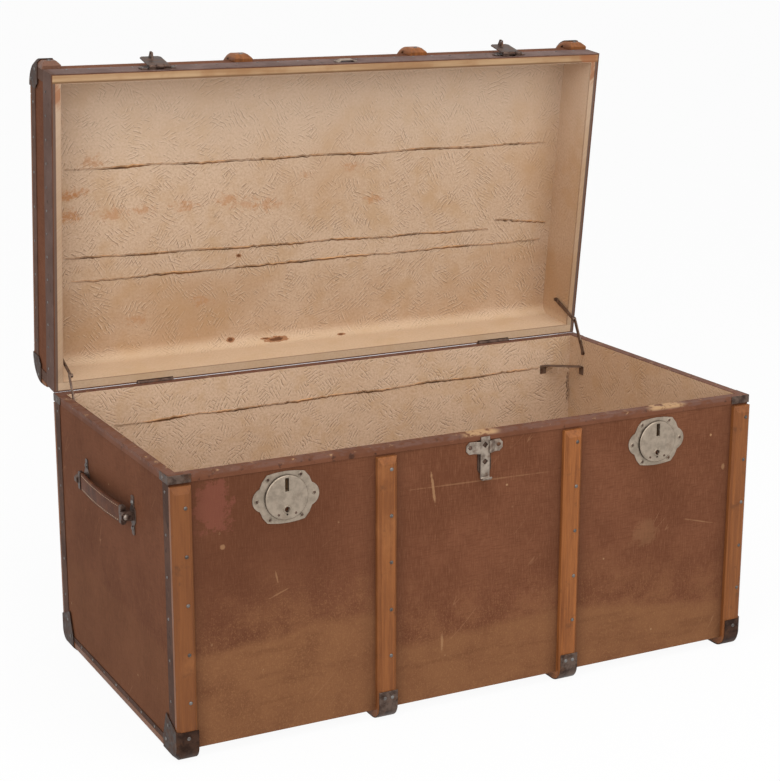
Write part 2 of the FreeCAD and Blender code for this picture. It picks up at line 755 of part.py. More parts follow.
# Centre catch: back plate, a guide with lips over both edges of a pierced bolt, and its curled finger end
plate_top = rim_low - sheet_clearance
catch_plate_face = front_y - catch_sheet
bolt_back = front_y - binding - sheet_clearance
bolt_face = bolt_back - catch_bolt_thick
bridge_face = bolt_face - sheet_clearance - catch_sheet
bolt_top = rim_z - catch_bolt_drop
bolt_low = bolt_top - catch_bolt_length


def catch_plate():
    half = catch_plate_width / 2
    low = plate_top - catch_plate_height
    blank = box((catch_x - half, catch_x + half), (catch_plate_face, front_y), (low + half, plate_top))
    return fuse(blank, rod(half, Vector(catch_x, catch_plate_face, low + half), along_y, catch_sheet))


def diamond(z):
    corners = [(-catch_hole, 0), (0, -catch_hole), (catch_hole, 0), (0, catch_hole)]
    points = [Vector(catch_x + across, bolt_face, z + rise) for across, rise in corners]
    return polygon(points, Vector(0, catch_bolt_thick, 0))


def catch_bolt():
    across = (catch_x - catch_bolt_width / 2, catch_x + catch_bolt_width / 2)
    strip = box(across, (bolt_face, bolt_back), (bolt_low + catch_bolt_curl, bolt_top))
    curl_start = Vector(across[0], bolt_back - catch_bolt_curl, bolt_low + catch_bolt_curl)
    curl_outer = rod(catch_bolt_curl, curl_start, along_x, catch_bolt_width)
    curl_inner = rod(catch_bolt_curl - catch_bolt_thick, curl_start, along_x, catch_bolt_width)
    curl_depth = (bolt_back - 2 * catch_bolt_curl, bolt_back)
    lower_half = box(across, curl_depth, (bolt_low, bolt_low + catch_bolt_curl))
    curl = curl_outer.cut(curl_inner).common(lower_half)
    holes = [diamond(bolt_top - catch_hole_high), diamond(bolt_top - catch_hole_low)]
    return fuse(strip, curl).cut(holes)


def catch_guide():
    top = rim_z - guide_drop
    low = top - guide_height
    whole = bridge(front_y, guide_half_width, guide_ear, front_y - bridge_face, low, top, guide_corner)
    open_half = catch_bolt_width / 2 - guide_lip
    window = box((catch_x - open_half, catch_x + open_half), (bridge_face, front_y), (low, top))
    return whole.cut(window)


save("catch_plate", catch_plate())
save("catch_guide", *catch_guide().Solids)
save("catch_bolt", catch_bolt())
keeper_seat = front_y - binding
keeper_low = lid_rim_z + keeper_rise
save_on_lid("catch_keeper", bridge(keeper_seat, keeper_half_width, keeper_ear, keeper_seat - bridge_face,
                                   keeper_low, keeper_low + keeper_height, keeper_corner))

# Handle mounts on the right end: a plate that is wide in the middle and narrow at its tips, with a raised eye
axis_x = end_x + handle_axis_off


def handle_mount(y):
    half_y = mount_width / 2
    half_z = mount_height / 2
    half_tip = mount_tip / 2
    quarter = [(half_y, mount_middle), (half_tip, mount_middle + mount_shoulder),
               (half_tip, half_z - mount_corner), (half_tip - mount_corner, half_z)]
    upper = quarter + [(-across, rise) for across, rise in reversed(quarter)]
    outline = upper + [(across, -rise) for across, rise in reversed(upper)]
    blank = polygon([Vector(end_x, y + across, handle_height + rise) for across, rise in outline],
                    Vector(mount_sheet, 0, 0))
    near = y - eye_length / 2
    eye = box((end_x, axis_x + eye_radius), (near, near + eye_length),
              (handle_height - eye_radius, handle_height + eye_radius))
    outer_edges = [edge for edge in eye.Edges
                   if abs(edge.tangentAt(edge.FirstParameter).y) > 0.5 and edge.CenterOfMass.x > axis_x]
    bore_start = Vector(axis_x, near - mount_width, handle_height)
    bore = rod(handle_pin + pin_clearance, bore_start, along_y, 3 * mount_width)
    return fuse(blank, eye.makeChamfer(eye_corner, outer_edges)).cut(bore)


# Strap: a stitched leather band bowed away from the wall, held in a metal end with a pivot pin on each side
strap_half = handle_half_span - eye_length / 2 - sheet_clearance - ferrule_length


def handle_strap():
    low = handle_height - strap_width / 2
    inside = axis_x - strap_thick / 2
    outside = axis_x + strap_thick / 2
    inner_ends = [Vector(inside, -strap_half, low), Vector(inside, strap_half, low)]
    outer_ends = [Vector(outside, -strap_half, low), Vector(outside, strap_half, low)]
    edges = [arc(inner_ends[0], Vector(inside + handle_bow, 0, low), inner_ends[1]),
             line(inner_ends[1], outer_ends[1]),
             arc(outer_ends[1], Vector(outside + handle_bow, 0, low), outer_ends[0]),
             line(outer_ends[0], inner_ends[0])]
    return plate(edges, Vector(0, 0, strap_width))


def handle_end():
    half_x = strap_thick / 2 + ferrule_wall
    half_z = strap_width / 2 + ferrule_wall / 2
    block = box((axis_x - half_x, axis_x + half_x), (strap_half, strap_half + ferrule_length),
                (handle_height - half_z, handle_height + half_z))
    corners = [edge for edge in block.Edges if abs(edge.tangentAt(edge.FirstParameter).y) > 0.5]
    block = block.makeChamfer(ferrule_wall * 2, corners)
    pin = rod(handle_pin, Vector(axis_x, strap_half + ferrule_length / 2, handle_height), along_y,
              ferrule_length / 2 + sheet_clearance + eye_length)
    return fuse(block, pin)


mounts = [handle_mount(handle_half_span), handle_mount(-handle_half_span)]
save("handle_mounts", mounts[0], mounts[1], mirror_x(mounts[0]), mirror_x(mounts[1]))
strap = handle_strap()
strap_ends = [handle_end(), mirror_y(handle_end())]
save("handle_strap_right", strap)
save("handle_strap_left", mirror_x(strap))
save("handle_ends_right", strap_ends[0], strap_ends[1])
save("handle_ends_left", mirror_x(strap_ends[0]), mirror_x(strap_ends[1]))


# Bent strip across the back right corner inside: a tab on each wall and a bar between them
def corner_bracket():
    half = bracket_width / 2
    back_x = inner_x - bracket_along_back
    end_y = inner_y - bracket_along_end
    levels = (bracket_height - bracket_tab, bracket_height)
    back_tab = box((back_x - half, back_x + half), (inner_y - bracket_sheet, inner_y), levels)
    end_tab = box((inner_x - bracket_sheet, inner_x), (end_y - half, end_y + half), levels)
    run_x = bracket_along_back
    run_y = -bracket_along_end
    length = math.hypot(run_x, run_y)
    across = Vector(-run_y / length * half, run_x / length * half, 0)
    start = Vector(back_x, inner_y - bracket_sheet / 2, bracket_height - bracket_sheet)
    end = Vector(inner_x - bracket_sheet / 2, end_y, bracket_height - bracket_sheet)
    bar = polygon([start - across, end - across, end + across, start + across], Vector(0, 0, bracket_sheet))
    inside = box((back_x - bracket_width, inner_x), (end_y - bracket_width, inner_y), levels)
    return fuse(back_tab, end_tab, bar.common(inside))


save("corner_bracket", corner_bracket())
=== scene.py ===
import bmesh
import bpy
import math
from mathutils import Matrix, Vector, noise


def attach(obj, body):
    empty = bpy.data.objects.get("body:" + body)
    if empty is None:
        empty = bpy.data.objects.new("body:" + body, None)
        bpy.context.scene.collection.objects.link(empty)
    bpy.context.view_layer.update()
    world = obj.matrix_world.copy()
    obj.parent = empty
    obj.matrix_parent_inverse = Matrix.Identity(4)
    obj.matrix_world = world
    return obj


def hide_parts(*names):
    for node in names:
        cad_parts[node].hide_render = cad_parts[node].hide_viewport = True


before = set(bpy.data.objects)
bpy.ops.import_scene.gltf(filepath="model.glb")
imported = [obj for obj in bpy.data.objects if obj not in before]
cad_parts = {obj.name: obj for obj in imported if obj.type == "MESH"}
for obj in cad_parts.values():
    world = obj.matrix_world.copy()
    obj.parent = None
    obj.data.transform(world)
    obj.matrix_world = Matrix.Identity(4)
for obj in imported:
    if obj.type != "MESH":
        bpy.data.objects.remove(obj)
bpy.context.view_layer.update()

# Boards: pine planks 12 mm thick, glued and nailed into a box and a shallow lid.
# Canvas and paper hide them, apart from the sawn edge of the lid's front board at its mouth.
lid_hinge = Vector((0.0, 0.1965, 0.41075))
lid_angle = math.radians(83.5)
lid_turn = Matrix.Rotation(-lid_angle, 4, "X")
lid_open = Matrix.Translation(lid_hinge) @ lid_turn @ Matrix.Translation(-lid_hinge)
lid_mouth = 0.412
shadowed_front_edge = (-0.286, -0.2835)
rusty_corner = (0.455, -0.289, lid_mouth)


def new_finish(name, roughness, metallic=0.0, shine=0.5):
    finish = bpy.data.materials.new(name)
    finish.use_nodes = True
    shader = finish.node_tree.nodes["Principled BSDF"]
    shader.inputs["Roughness"].default_value = roughness
    shader.inputs["Metallic"].default_value = metallic
    shader.inputs["Specular IOR Level"].default_value = shine
    return finish, finish.node_tree, shader


def put(tree, kind, sockets, **settings):
    made = tree.nodes.new(kind)
    for name, value in settings.items():
        setattr(made, name, value)
    for key, value in sockets.items():
        if isinstance(value, bpy.types.NodeSocket):
            tree.links.new(value, made.inputs[key])
        else:
            made.inputs[key].default_value = value
    return made


def surface_place(tree, on_lid):
    spot = tree.nodes.new("ShaderNodeTexCoord").outputs["Object"]
    if not on_lid:
        return spot
    shift = lid_hinge - Matrix.Rotation(lid_angle, 3, "X") @ lid_hinge
    shut = {"Vector": spot, "Location": shift, "Rotation": (lid_angle, 0.0, 0.0)}
    return put(tree, "ShaderNodeMapping", shut).outputs["Vector"]


def axes_of(tree, spot):
    return put(tree, "ShaderNodeSeparateXYZ", {0: spot}).outputs


def stretched(tree, spot, scale):
    return put(tree, "ShaderNodeMapping", {"Vector": spot, "Scale": scale}).outputs["Vector"]


def cloud(tree, spot, scale, detail=3.0, roughness=0.55):
    sockets = {"Vector": spot, "Scale": scale, "Detail": detail, "Roughness": roughness}
    return put(tree, "ShaderNodeTexNoise", sockets).outputs["Fac"]


def between(tree, value, low, high, start=0.0, end=1.0):
    sockets = {"Value": value, "From Min": low, "From Max": high, "To Min": start, "To Max": end}
    return put(tree, "ShaderNodeMapRange", sockets, interpolation_type="SMOOTHSTEP").outputs["Result"]


def sums(tree, operation, first, second):
    return put(tree, "ShaderNodeMath", {0: first, 1: second}, operation=operation).outputs[0]


def vectors(tree, operation, first, second):
    return put(tree, "ShaderNodeVectorMath", {0: first, 1: second}, operation=operation).outputs[0]


def length(tree, offset):
    return put(tree, "ShaderNodeVectorMath", {0: offset}, operation="LENGTH").outputs["Value"]


def nearness(tree, spot, centre, size):
    offset = vectors(tree, "SUBTRACT", spot, centre)
    share = (1 / size[0], 1 / size[1], 1 / size[2])
    return length(tree, vectors(tree, "MULTIPLY", offset, share))


def painted(tree, amount, under, over):
    return put(tree, "ShaderNodeMix", {0: amount, 6: under, 7: over}, data_type="RGBA").outputs[2]


def relief(tree, shader, height, strength, distance):
    bump = put(tree, "ShaderNodeBump", {"Height": height, "Strength": strength, "Distance": distance})
    tree.links.new(bump.outputs["Normal"], shader.inputs["Normal"])


def dress(finish, *names):
    for name in names:
        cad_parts[name].data.materials.clear()
        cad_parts[name].data.materials.append(finish)


def pine_finish(name, on_lid):
    finish, tree, shader = new_finish(name, 0.75, shine=0.2)
    spot = surface_place(tree, on_lid)
    grain = cloud(tree, stretched(tree, spot, (5.0, 90.0, 90.0)), 1.0, 5.0)
    wood = painted(tree, between(tree, grain, 0.35, 0.65), (0.44, 0.285, 0.158, 1), (0.315, 0.18, 0.088, 1))
    grime = between(tree, cloud(tree, spot, 18.0, 5.0), 0.45, 0.7)
    wood = painted(tree, sums(tree, "MULTIPLY", grime, 0.6), wood, (0.27, 0.13, 0.055, 1))
    if on_lid:
        # Painted shadow: the inner part of the front board's sawn edge is painted dark, as the shade line
        # where it meets the lining.
        inner_shadow = between(tree, axes_of(tree, spot)[1], *shadowed_front_edge, 0.0, 0.85)
        wood = painted(tree, inner_shadow, wood, (0.13, 0.065, 0.03, 1))
        corner = sums(tree, "ADD", nearness(tree, spot, rusty_corner, (0.026, 0.014, 0.03)), grime)
        wood = painted(tree, between(tree, corner, 1.3, 0.6, 0.0, 0.75), wood, (0.27, 0.095, 0.036, 1))
    tree.links.new(wood, shader.inputs["Base Color"])
    relief(tree, shader, grain, 0.3, 0.0006)
    return finish


dress(pine_finish("base_pine", False), "base_front_board", "base_back_board", "base_left_board",
      "base_right_board", "base_bottom_board")
dress(pine_finish("lid_pine", True), "lid_front_board", "lid_top_board", "lid_front_shoulder",
      "lid_back_shoulder")


# Canvas: stout cotton cloth glued over the boards and brushed with chocolate-brown oil paint.
# It is streaked and scuffed, and below a wandering tidemark on the front it has faded yellow-brown.
# A scuff is its place across and up, half its width and height, its lean and its strength.
canvas_front = -0.295
canvas_end = 0.4735
slat_across = (-0.4605, -0.1535, 0.1535, 0.4605)
red_spill = (-0.412, canvas_front, 0.36)
tidemark_left = 0.16
tidemark_middle = 0.116
tidemark_fall = 0.036
canvas_scuffs = ((-0.076, 0.333, 0.0024, 0.026, 0.15, 0.6), (-0.06, 0.099, 0.003, 0.02, 0.0, 0.5),
                 (0.395, 0.217, 0.03, 0.0011, -0.26, 0.4), (-0.317, 0.22, 0.018, 0.0011, 0.35, 0.35),
                 (-0.321, 0.244, 0.0014, 0.013, 0.2, 0.4), (0.4346, 0.299, 0.0035, 0.0055, 0.0, 0.6),
                 (0.293, 0.213, 0.03, 0.026, 0.0, 0.15), (-0.4, 0.3, 0.004, 0.004, 0.0, 0.5),
                 (0.4085, 0.354, 0.003, 0.003, 0.0, 0.8), (0.0, 0.3375, 0.14, 0.0012, -0.02, 0.25))


def faded_front(tree, spot, axes, paint, patch):
    level = sums(tree, "SUBTRACT", between(tree, axes[0], -0.165, -0.145, tidemark_left, tidemark_middle),
                 between(tree, axes[0], 0.15, 0.45, 0.0, tidemark_fall))
    wander = sums(tree, "MULTIPLY", sums(tree, "SUBTRACT", cloud(tree, spot, 6.0, 4.0), 0.5), 0.055)
    height = sums(tree, "SUBTRACT", axes[2], sums(tree, "ADD", level, wander))
    in_front = between(tree, axes[1], -0.27, -0.29, 0.25, 1.0)
    # Painted shade: the front panel is painted darker towards its left end.
    left_front_shade = sums(tree, "MULTIPLY", between(tree, axes[0], -0.05, -0.35, 0.0, 0.45),
                     sums(tree, "LESS_THAN", axes[1], -0.29))
    paint = painted(tree, left_front_shade, paint, (0.082, 0.03, 0.015, 1))
    mist = sums(tree, "MULTIPLY", between(tree, height, 0.13, -0.04), in_front)
    faded = sums(tree, "MULTIPLY", between(tree, height, 0.008, -0.012), in_front)
    faded = sums(tree, "MULTIPLY", faded, between(tree, patch, 0.3, 0.6, 0.5, 0.9))
    cloudy = sums(tree, "MULTIPLY", mist, between(tree, patch, 0.42, 0.66, 0.0, 0.6))
    paint = painted(tree, sums(tree, "MAXIMUM", faded, cloudy), paint, (0.2, 0.088, 0.039, 1))
    return paint, mist


def scuffed_front(tree, spot, paint):
    frayed = sums(tree, "SUBTRACT", cloud(tree, spot, 60.0, 6.0, 0.75), 0.5)
    frayed = sums(tree, "MULTIPLY", frayed, 3.0)
    spill = sums(tree, "ADD", nearness(tree, spot, red_spill, (0.03, 0.03, 0.04)), frayed)
    paint = painted(tree, between(tree, spill, 1.1, 0.7, 0.0, 0.6), paint, (0.185, 0.06, 0.04, 1))
    for across, rise, wide, tall, lean, amount in canvas_scuffs:
        place = {"Vector": spot, "Location": (across, canvas_front, rise), "Rotation": (0.0, -lean, 0.0),
                 "Scale": (wide, 0.02, tall)}
        mark = put(tree, "ShaderNodeMapping", place, vector_type="TEXTURE").outputs["Vector"]
        mark = sums(tree, "ADD", length(tree, mark), sums(tree, "MULTIPLY", frayed, 0.7))
        paint = painted(tree, between(tree, mark, 1.0, 0.5, 0.0, amount), paint, (0.36, 0.2, 0.1, 1))
    return paint


def canvas_finish(name, on_lid):
    finish, tree, shader = new_finish(name, 0.75, shine=0.06)
    spot = surface_place(tree, on_lid)
    axes = axes_of(tree, spot)
    tone = cloud(tree, spot, 7.0, 7.0, 0.65)
    paint = painted(tree, between(tree, tone, 0.36, 0.64), (0.118, 0.042, 0.02, 1), (0.155, 0.058, 0.029, 1))
    warp = cloud(tree, stretched(tree, spot, (620.0, 620.0, 55.0)), 1.0, 3.0, 0.7)
    weft = cloud(tree, stretched(tree, spot, (55.0, 55.0, 620.0)), 1.0, 3.0, 0.7)
    paint = painted(tree, between(tree, warp, 0.42, 0.75, 0.0, 0.6), paint, (0.2, 0.084, 0.043, 1))
    paint = painted(tree, between(tree, weft, 0.45, 0.75, 0.0, 0.5), paint, (0.09, 0.03, 0.014, 1))
    patch = cloud(tree, spot, 14.0, 7.0, 0.68)
    threads = cloud(tree, stretched(tree, spot, (480.0, 480.0, 430.0)), 1.0, 3.0, 0.7)
    bare = between(tree, threads, 0.66, 0.78, 0.0, 0.3)
    if not on_lid:
        paint, mist = faded_front(tree, spot, axes, paint, patch)
        rubbed = sums(tree, "MULTIPLY", mist, between(tree, threads, 0.5, 0.68, 0.0, 0.5))
        bare = sums(tree, "MAXIMUM", bare, rubbed)
        paint = scuffed_front(tree, spot, paint)
        smear = cloud(tree, stretched(tree, spot, (9.0, 9.0, 55.0)), 1.0, 6.0, 0.7)
        smear = sums(tree, "MULTIPLY", between(tree, smear, 0.5, 0.68, 0.0, 0.4), mist)
        paint = painted(tree, smear, paint, (0.12, 0.046, 0.021, 1))
    paint = painted(tree, bare, paint, (0.27, 0.13, 0.056, 1))
    chips = put(tree, "ShaderNodeTexVoronoi", {"Vector": spot, "Scale": 26.0}).outputs["Distance"]
    chips = sums(tree, "MULTIPLY", between(tree, chips, 0.06, 0.025),
                 between(tree, patch, 0.48, 0.6, 0.0, 0.65))
    paint = painted(tree, chips, paint, (0.4, 0.24, 0.125, 1))
    # Dirt and painted shade: the canvas is painted darker in a band beside each upright slat, where shade
    # falls next to the slat.
    near_slat = sums(tree, "PINGPONG", sums(tree, "ADD", axes[0], slat_across[3]), slat_across[2])
    slat_grime_and_shade = sums(tree, "MULTIPLY", between(tree, near_slat, 0.045, 0.014, 0.0, 0.35),
                  sums(tree, "LESS_THAN", sums(tree, "ABSOLUTE", axes[0], 0.0), canvas_end))
    paint = painted(tree, slat_grime_and_shade, paint, (0.085, 0.032, 0.016, 1))
    leaning = put(tree, "ShaderNodeMapping", {"Vector": spot, "Location": (5.2, 5.2, 5.2),
                                              "Rotation": (0.9, 0.6, 0.9)}).outputs["Vector"]
    line = cloud(tree, stretched(tree, leaning, (4.0, 4.0, 50.0)), 1.0, 1.0)
    line = sums(tree, "ABSOLUTE", sums(tree, "SUBTRACT", line, 0.5), 0.0)
    scratch = sums(tree, "MULTIPLY", between(tree, line, 0.006, 0.001),
                   between(tree, cloud(tree, leaning, 9.0, 2.0), 0.6, 0.68, 0.0, 0.35))
    paint = painted(tree, scratch, paint, (0.36, 0.19, 0.1, 1))
    tree.links.new(paint, shader.inputs["Base Color"])
    relief(tree, shader, sums(tree, "ADD", warp, weft), 0.3, 0.0005)
    return finish


dress(canvas_finish("base_painted_canvas", False), "base_canvas")
dress(canvas_finish("lid_painted_canvas", True), "lid_canvas")


# Lining: buff paper pasted over the inside of the boards, embossed all over with sheaves of fine strokes.
# It is folded over the lid's edges, has yellowed in patches, and carries rusty smudges and torn holes.
# A smudge is its place on the unrolled sheet, reach and strength; a hole is its place and half sizes.
trunk_middle = -0.05
lid_deep = 0.4932
end_inside = 0.4596
floor_top = 0.029
end_edge_binding = (0.4684, 0.469)
lid_smudges = ((-0.429, -0.09, 0.015, 0.75), (-0.424, -0.0585, 0.017, 0.75), (-0.407, -0.0966, 0.011, 0.6),
               (-0.353, -0.0575, 0.019, 0.5), (-0.303, -0.0594, 0.013, 0.5), (-0.232, -0.0616, 0.016, 0.55),
               (-0.157, -0.068, 0.016, 0.55), (-0.128, -0.0586, 0.017, 0.4), (-0.087, -0.0547, 0.019, 0.5),
               (-0.02, -0.0992, 0.01, 0.5), (-0.387, -0.1423, 0.015, 0.5), (0.107, -0.0513, 0.013, 0.55),
               (0.062, -0.1086, 0.013, 0.5), (-0.31, 0.12, 0.014, 0.4), (-0.2, 0.1, 0.014, 0.4))
lid_holes = ((-0.148, 0.1705, 0.4908, 0.0075, 0.004), (-0.066, 0.1765, 0.4862, 0.021, 0.0052),
             (0.052, 0.179, 0.4825, 0.007, 0.0028), (-0.085, 0.174, 0.4885, 0.009, 0.0016),
             (-0.136, 0.0275, 0.4932, 0.0045, 0.0028))
edge_rust = ((0.464, -0.27, 0.03), (-0.466, -0.265, 0.026))


def unrolled(tree, axes, on_lid):
    on_end = sums(tree, "GREATER_THAN", sums(tree, "ABSOLUTE", axes[0], 0.0), end_inside)
    along = sums(tree, "ADD", axes[0], sums(tree, "MULTIPLY", axes[1], on_end))
    if on_lid:
        side = sums(tree, "SIGN", sums(tree, "SUBTRACT", axes[1], trunk_middle), 0.0)
        drop = sums(tree, "MULTIPLY", sums(tree, "SUBTRACT", lid_deep, axes[2]), side)
        over = sums(tree, "MULTIPLY", sums(tree, "ADD", axes[1], drop), sums(tree, "SUBTRACT", 1.0, on_end))
        up = sums(tree, "ADD", over, sums(tree, "MULTIPLY", axes[2], on_end))
    else:
        on_floor = sums(tree, "LESS_THAN", axes[2], floor_top)
        up = sums(tree, "ADD", axes[2], sums(tree, "MULTIPLY", axes[1], on_floor))
    sheet = put(tree, "ShaderNodeCombineXYZ", {0: along, 1: up, 2: 0.0}).outputs[0]
    return sheet, up, on_end


def strokes(tree, bent, cell, shift, fineness):
    moved = {"Vector": bent, "Location": (shift, shift, 0.0)}
    moved = put(tree, "ShaderNodeMapping", moved).outputs["Vector"]
    sheaf = put(tree, "ShaderNodeTexVoronoi", {"Vector": moved, "Scale": cell}, voronoi_dimensions="2D")
    lean = put(tree, "ShaderNodeSeparateColor", {0: sheaf.outputs["Color"]}).outputs
    angle = sums(tree, "MULTIPLY", sums(tree, "SIGN", sums(tree, "SUBTRACT", lean[0], 0.45), 0.0), 0.75)
    angle = sums(tree, "ADD", angle, sums(tree, "MULTIPLY", sums(tree, "SUBTRACT", lean[1], 0.5), 0.9))
    turned = put(tree, "ShaderNodeVectorRotate", {"Vector": moved, "Angle": angle}, rotation_type="Z_AXIS")
    rows = sums(tree, "ADD", sums(tree, "MULTIPLY", axes_of(tree, turned.outputs[0])[1], fineness),
                sums(tree, "MULTIPLY", cloud(tree, moved, 30.0, 3.0), 2.0))
    gate = sums(tree, "MULTIPLY", between(tree, cloud(tree, moved, 34.0, 3.0), 0.49, 0.6),
                between(tree, cloud(tree, moved, 150.0, 2.0), 0.4, 0.52))
    groove = between(tree, sums(tree, "PINGPONG", rows, 0.5), 0.14, 0.05)
    ridge = between(tree, sums(tree, "PINGPONG", sums(tree, "ADD", rows, 0.26), 0.5), 0.16, 0.06)
    return sums(tree, "MULTIPLY", groove, gate), sums(tree, "MULTIPLY", ridge, gate)


def embossing(tree, sheet, paper, pressed):
    swirl = put(tree, "ShaderNodeTexNoise", {"Vector": sheet, "Scale": 18.0, "Detail": 2.0}).outputs["Color"]
    bent = vectors(tree, "ADD", sheet, vectors(tree, "MULTIPLY", swirl, (0.01, 0.01, 0.0)))
    large = strokes(tree, bent, cell=19.0, shift=0.0, fineness=165.0)
    small = strokes(tree, bent, cell=26.0, shift=7.9, fineness=215.0)
    # Painted highlight and shade: the pale lines beside the strokes are painted highlight on the raised
    # paper, and the dark strokes are the pattern's lines and the painted shade in its grooves.
    ridge_highlights = sums(tree, "MULTIPLY", sums(tree, "MAXIMUM", large[1], small[1]), pressed)
    paper = painted(tree, sums(tree, "MULTIPLY", ridge_highlights, 0.55), paper, (0.74, 0.58, 0.43, 1))
    grooves = sums(tree, "MULTIPLY", sums(tree, "MAXIMUM", large[0], small[0]), pressed)
    paper = painted(tree, sums(tree, "MULTIPLY", grooves, 0.75), paper, (0.2, 0.122, 0.07, 1))
    return paper, grooves


def lid_marks(tree, spot, sheet, axes, paper, ragged, embossed):
    paper = painted(tree, between(tree, axes[1], -0.06, -0.24, 0.0, 0.4), paper, (0.72, 0.57, 0.44, 1))
    # Painted light: the back wall of the open lid, which faces up, is painted paler.
    paper = painted(tree, between(tree, axes[1], 0.165, 0.18, 0.0, 0.45), paper, (0.7, 0.51, 0.33, 1))
    # Painted shade: the lining's cut edge at the lid's mouth is painted dark, as the shade line under the
    # board's edge.
    edge = between(tree, axes[2], 0.4135, 0.4122, 0.0, 0.6 if embossed else 0.08)
    paper = painted(tree, edge, paper, (0.2, 0.11, 0.06, 1))
    for across, back, reach, amount in lid_smudges if embossed else ():
        near = nearness(tree, sheet, (across, back, 0.0), (reach * 1.4, reach * 0.7, 1.0))
        rust = between(tree, sums(tree, "ADD", near, ragged), 1.0, 0.1, 0.0, amount)
        paper = painted(tree, rust, paper, (0.46, 0.2, 0.07, 1))
    for across, back, deep, wide, tall in lid_holes:
        near = nearness(tree, spot, (across, back, deep), (wide, tall, tall))
        near = sums(tree, "ADD", near, sums(tree, "MULTIPLY", ragged, 0.3))
        paper = painted(tree, between(tree, near, 1.15, 1.0, 0.0, 0.85), paper, (0.3, 0.115, 0.042, 1))
        paper = painted(tree, between(tree, near, 0.7, 0.55, 0.0, 0.9), paper, (0.1, 0.034, 0.013, 1))
    return paper


def edge_marks(tree, spot, axes, paper, ragged):
    for across, back, reach in edge_rust:
        near = sums(tree, "ADD", nearness(tree, spot, (across, back, lid_mouth), (0.012, reach, 0.03)),
                    sums(tree, "MULTIPLY", ragged, 0.6))
        paper = painted(tree, between(tree, near, 1.0, 0.3, 0.0, 0.75), paper, (0.27, 0.095, 0.036, 1))
    bound = between(tree, sums(tree, "ABSOLUTE", axes[0], 0.0), *end_edge_binding, 0.0, 0.9)
    return painted(tree, bound, paper, (0.1, 0.06, 0.048, 1))


def paper_finish(name, on_lid, soil_and_shade, embossed):
    finish, tree, shader = new_finish(name, 0.85, shine=0.1)
    spot = surface_place(tree, on_lid)
    axes = axes_of(tree, spot)
    sheet, up, on_end = unrolled(tree, axes, on_lid)
    age = cloud(tree, sheet, 4.0, 6.0, 0.6)
    paper = painted(tree, between(tree, age, 0.3, 0.7), (0.63, 0.455, 0.32, 1), (0.56, 0.39, 0.265, 1))
    speckle = cloud(tree, sheet, 260.0, 5.0, 0.75)
    paper = painted(tree, between(tree, speckle, 0.42, 0.7, 0.0, 0.65), paper, (0.4, 0.262, 0.16, 1))
    paper = painted(tree, between(tree, speckle, 0.48, 0.3, 0.0, 0.5), paper, (0.68, 0.52, 0.38, 1))
    stale = between(tree, cloud(tree, sheet, 13.0, 7.0, 0.7), 0.46, 0.66, 0.0, 0.5)
    paper = painted(tree, stale, paper, (0.49, 0.305, 0.155, 1))
    if on_lid:
        low = sums(tree, "MULTIPLY", between(tree, axes[1], 0.04, 0.075), between(tree, axes[1], 0.18, 0.16))
        low = sums(tree, "MULTIPLY", low, between(tree, age, 0.35, 0.65, 0.1, 0.4))
        paper = painted(tree, low, paper, (0.42, 0.225, 0.095, 1))
    crumple = cloud(tree, sheet, 45.0, 4.0)
    if embossed:
        pressed = between(tree, up, 0.19, 0.21, 1.0, 0.35) if on_lid else 1.0
        paper, grooves = embossing(tree, sheet, paper, pressed)
        crumple = sums(tree, "ADD", crumple, sums(tree, "MULTIPLY", grooves, -0.3))
    damp = between(tree, cloud(tree, sheet, 3.2, 4.0), 0.54, 0.7, 0.0, 0.4)
    paper = painted(tree, damp, paper, (0.5, 0.3, 0.155, 1))
    # Painted shade: the lining on the right end walls is painted darker and browner.
    right_end_shade = sums(tree, "MULTIPLY", on_end, between(tree, axes[0], 0.0, 0.01, 0.0, 0.2))
    paper = painted(tree, right_end_shade, paper, (0.42, 0.21, 0.08, 1))
    if on_lid:
        ragged = sums(tree, "SUBTRACT", cloud(tree, sheet, 105.0, 5.0, 0.75), 0.5)
        ragged = sums(tree, "MULTIPLY", ragged, 6.0)
        paper = lid_marks(tree, spot, sheet, axes, paper, ragged, embossed)
    # Soiling and painted shade: the paper is darkened evenly by this amount; on the edges of the lid's
    # boards, which catch the light, the larger amount is painted shade.
    paper = painted(tree, soil_and_shade, paper, (0.25, 0.15, 0.085, 1))
    if not embossed:
        paper = edge_marks(tree, spot, axes, paper, ragged)
    tree.links.new(paper, shader.inputs["Base Color"])
    relief(tree, shader, crumple, 0.4, 0.002)
    return finish


base_paper = paper_finish("base_embossed_paper", on_lid=False, soil_and_shade=0.0, embossed=True)
lid_paper = paper_finish("lid_embossed_paper", on_lid=True, soil_and_shade=0.1, embossed=True)
end_edge_paper = paper_finish("soiled_and_shaded_edge_paper", on_lid=True, soil_and_shade=0.45, embossed=False)
back_edge_paper = paper_finish("back_edge_paper", on_lid=True, soil_and_shade=0.12, embossed=False)
dress(base_paper, "base_lining")
dress(lid_paper, "lid_lining")
dress(end_edge_paper, "lid_left_board", "lid_right_board")
dress(back_edge_paper, "lid_back_board")


# Splits in the lining: the paper has torn along the joints between the planks behind it, and at one corner.
# Each is a dark ragged slit with the torn edge of the paper curling up on one side.
slit_halves = (0.0012, 0.0012)
slit_lift = 0.0004
lip_halves = (0.0002, 0.0012)
lip_lift = 0.0016
lip_aside = 0.0022
back_inside = 0.1812
lid_splits = [((-0.43, -0.131, lid_deep), (0.436, -0.128, lid_deep)),
              ((-0.43, 0.0102, lid_deep), (0.333, 0.02, lid_deep)),
              ((0.345, 0.0035, lid_deep), (0.45, 0.016, lid_deep)),
              ((-0.42, 0.0488, lid_deep), (0.442, 0.0462, lid_deep))]
back_splits = [((-0.386, back_inside, 0.349), (0.395, back_inside, 0.357)),
               ((0.4555, back_inside, 0.345), (0.4555, back_inside, 0.29))]


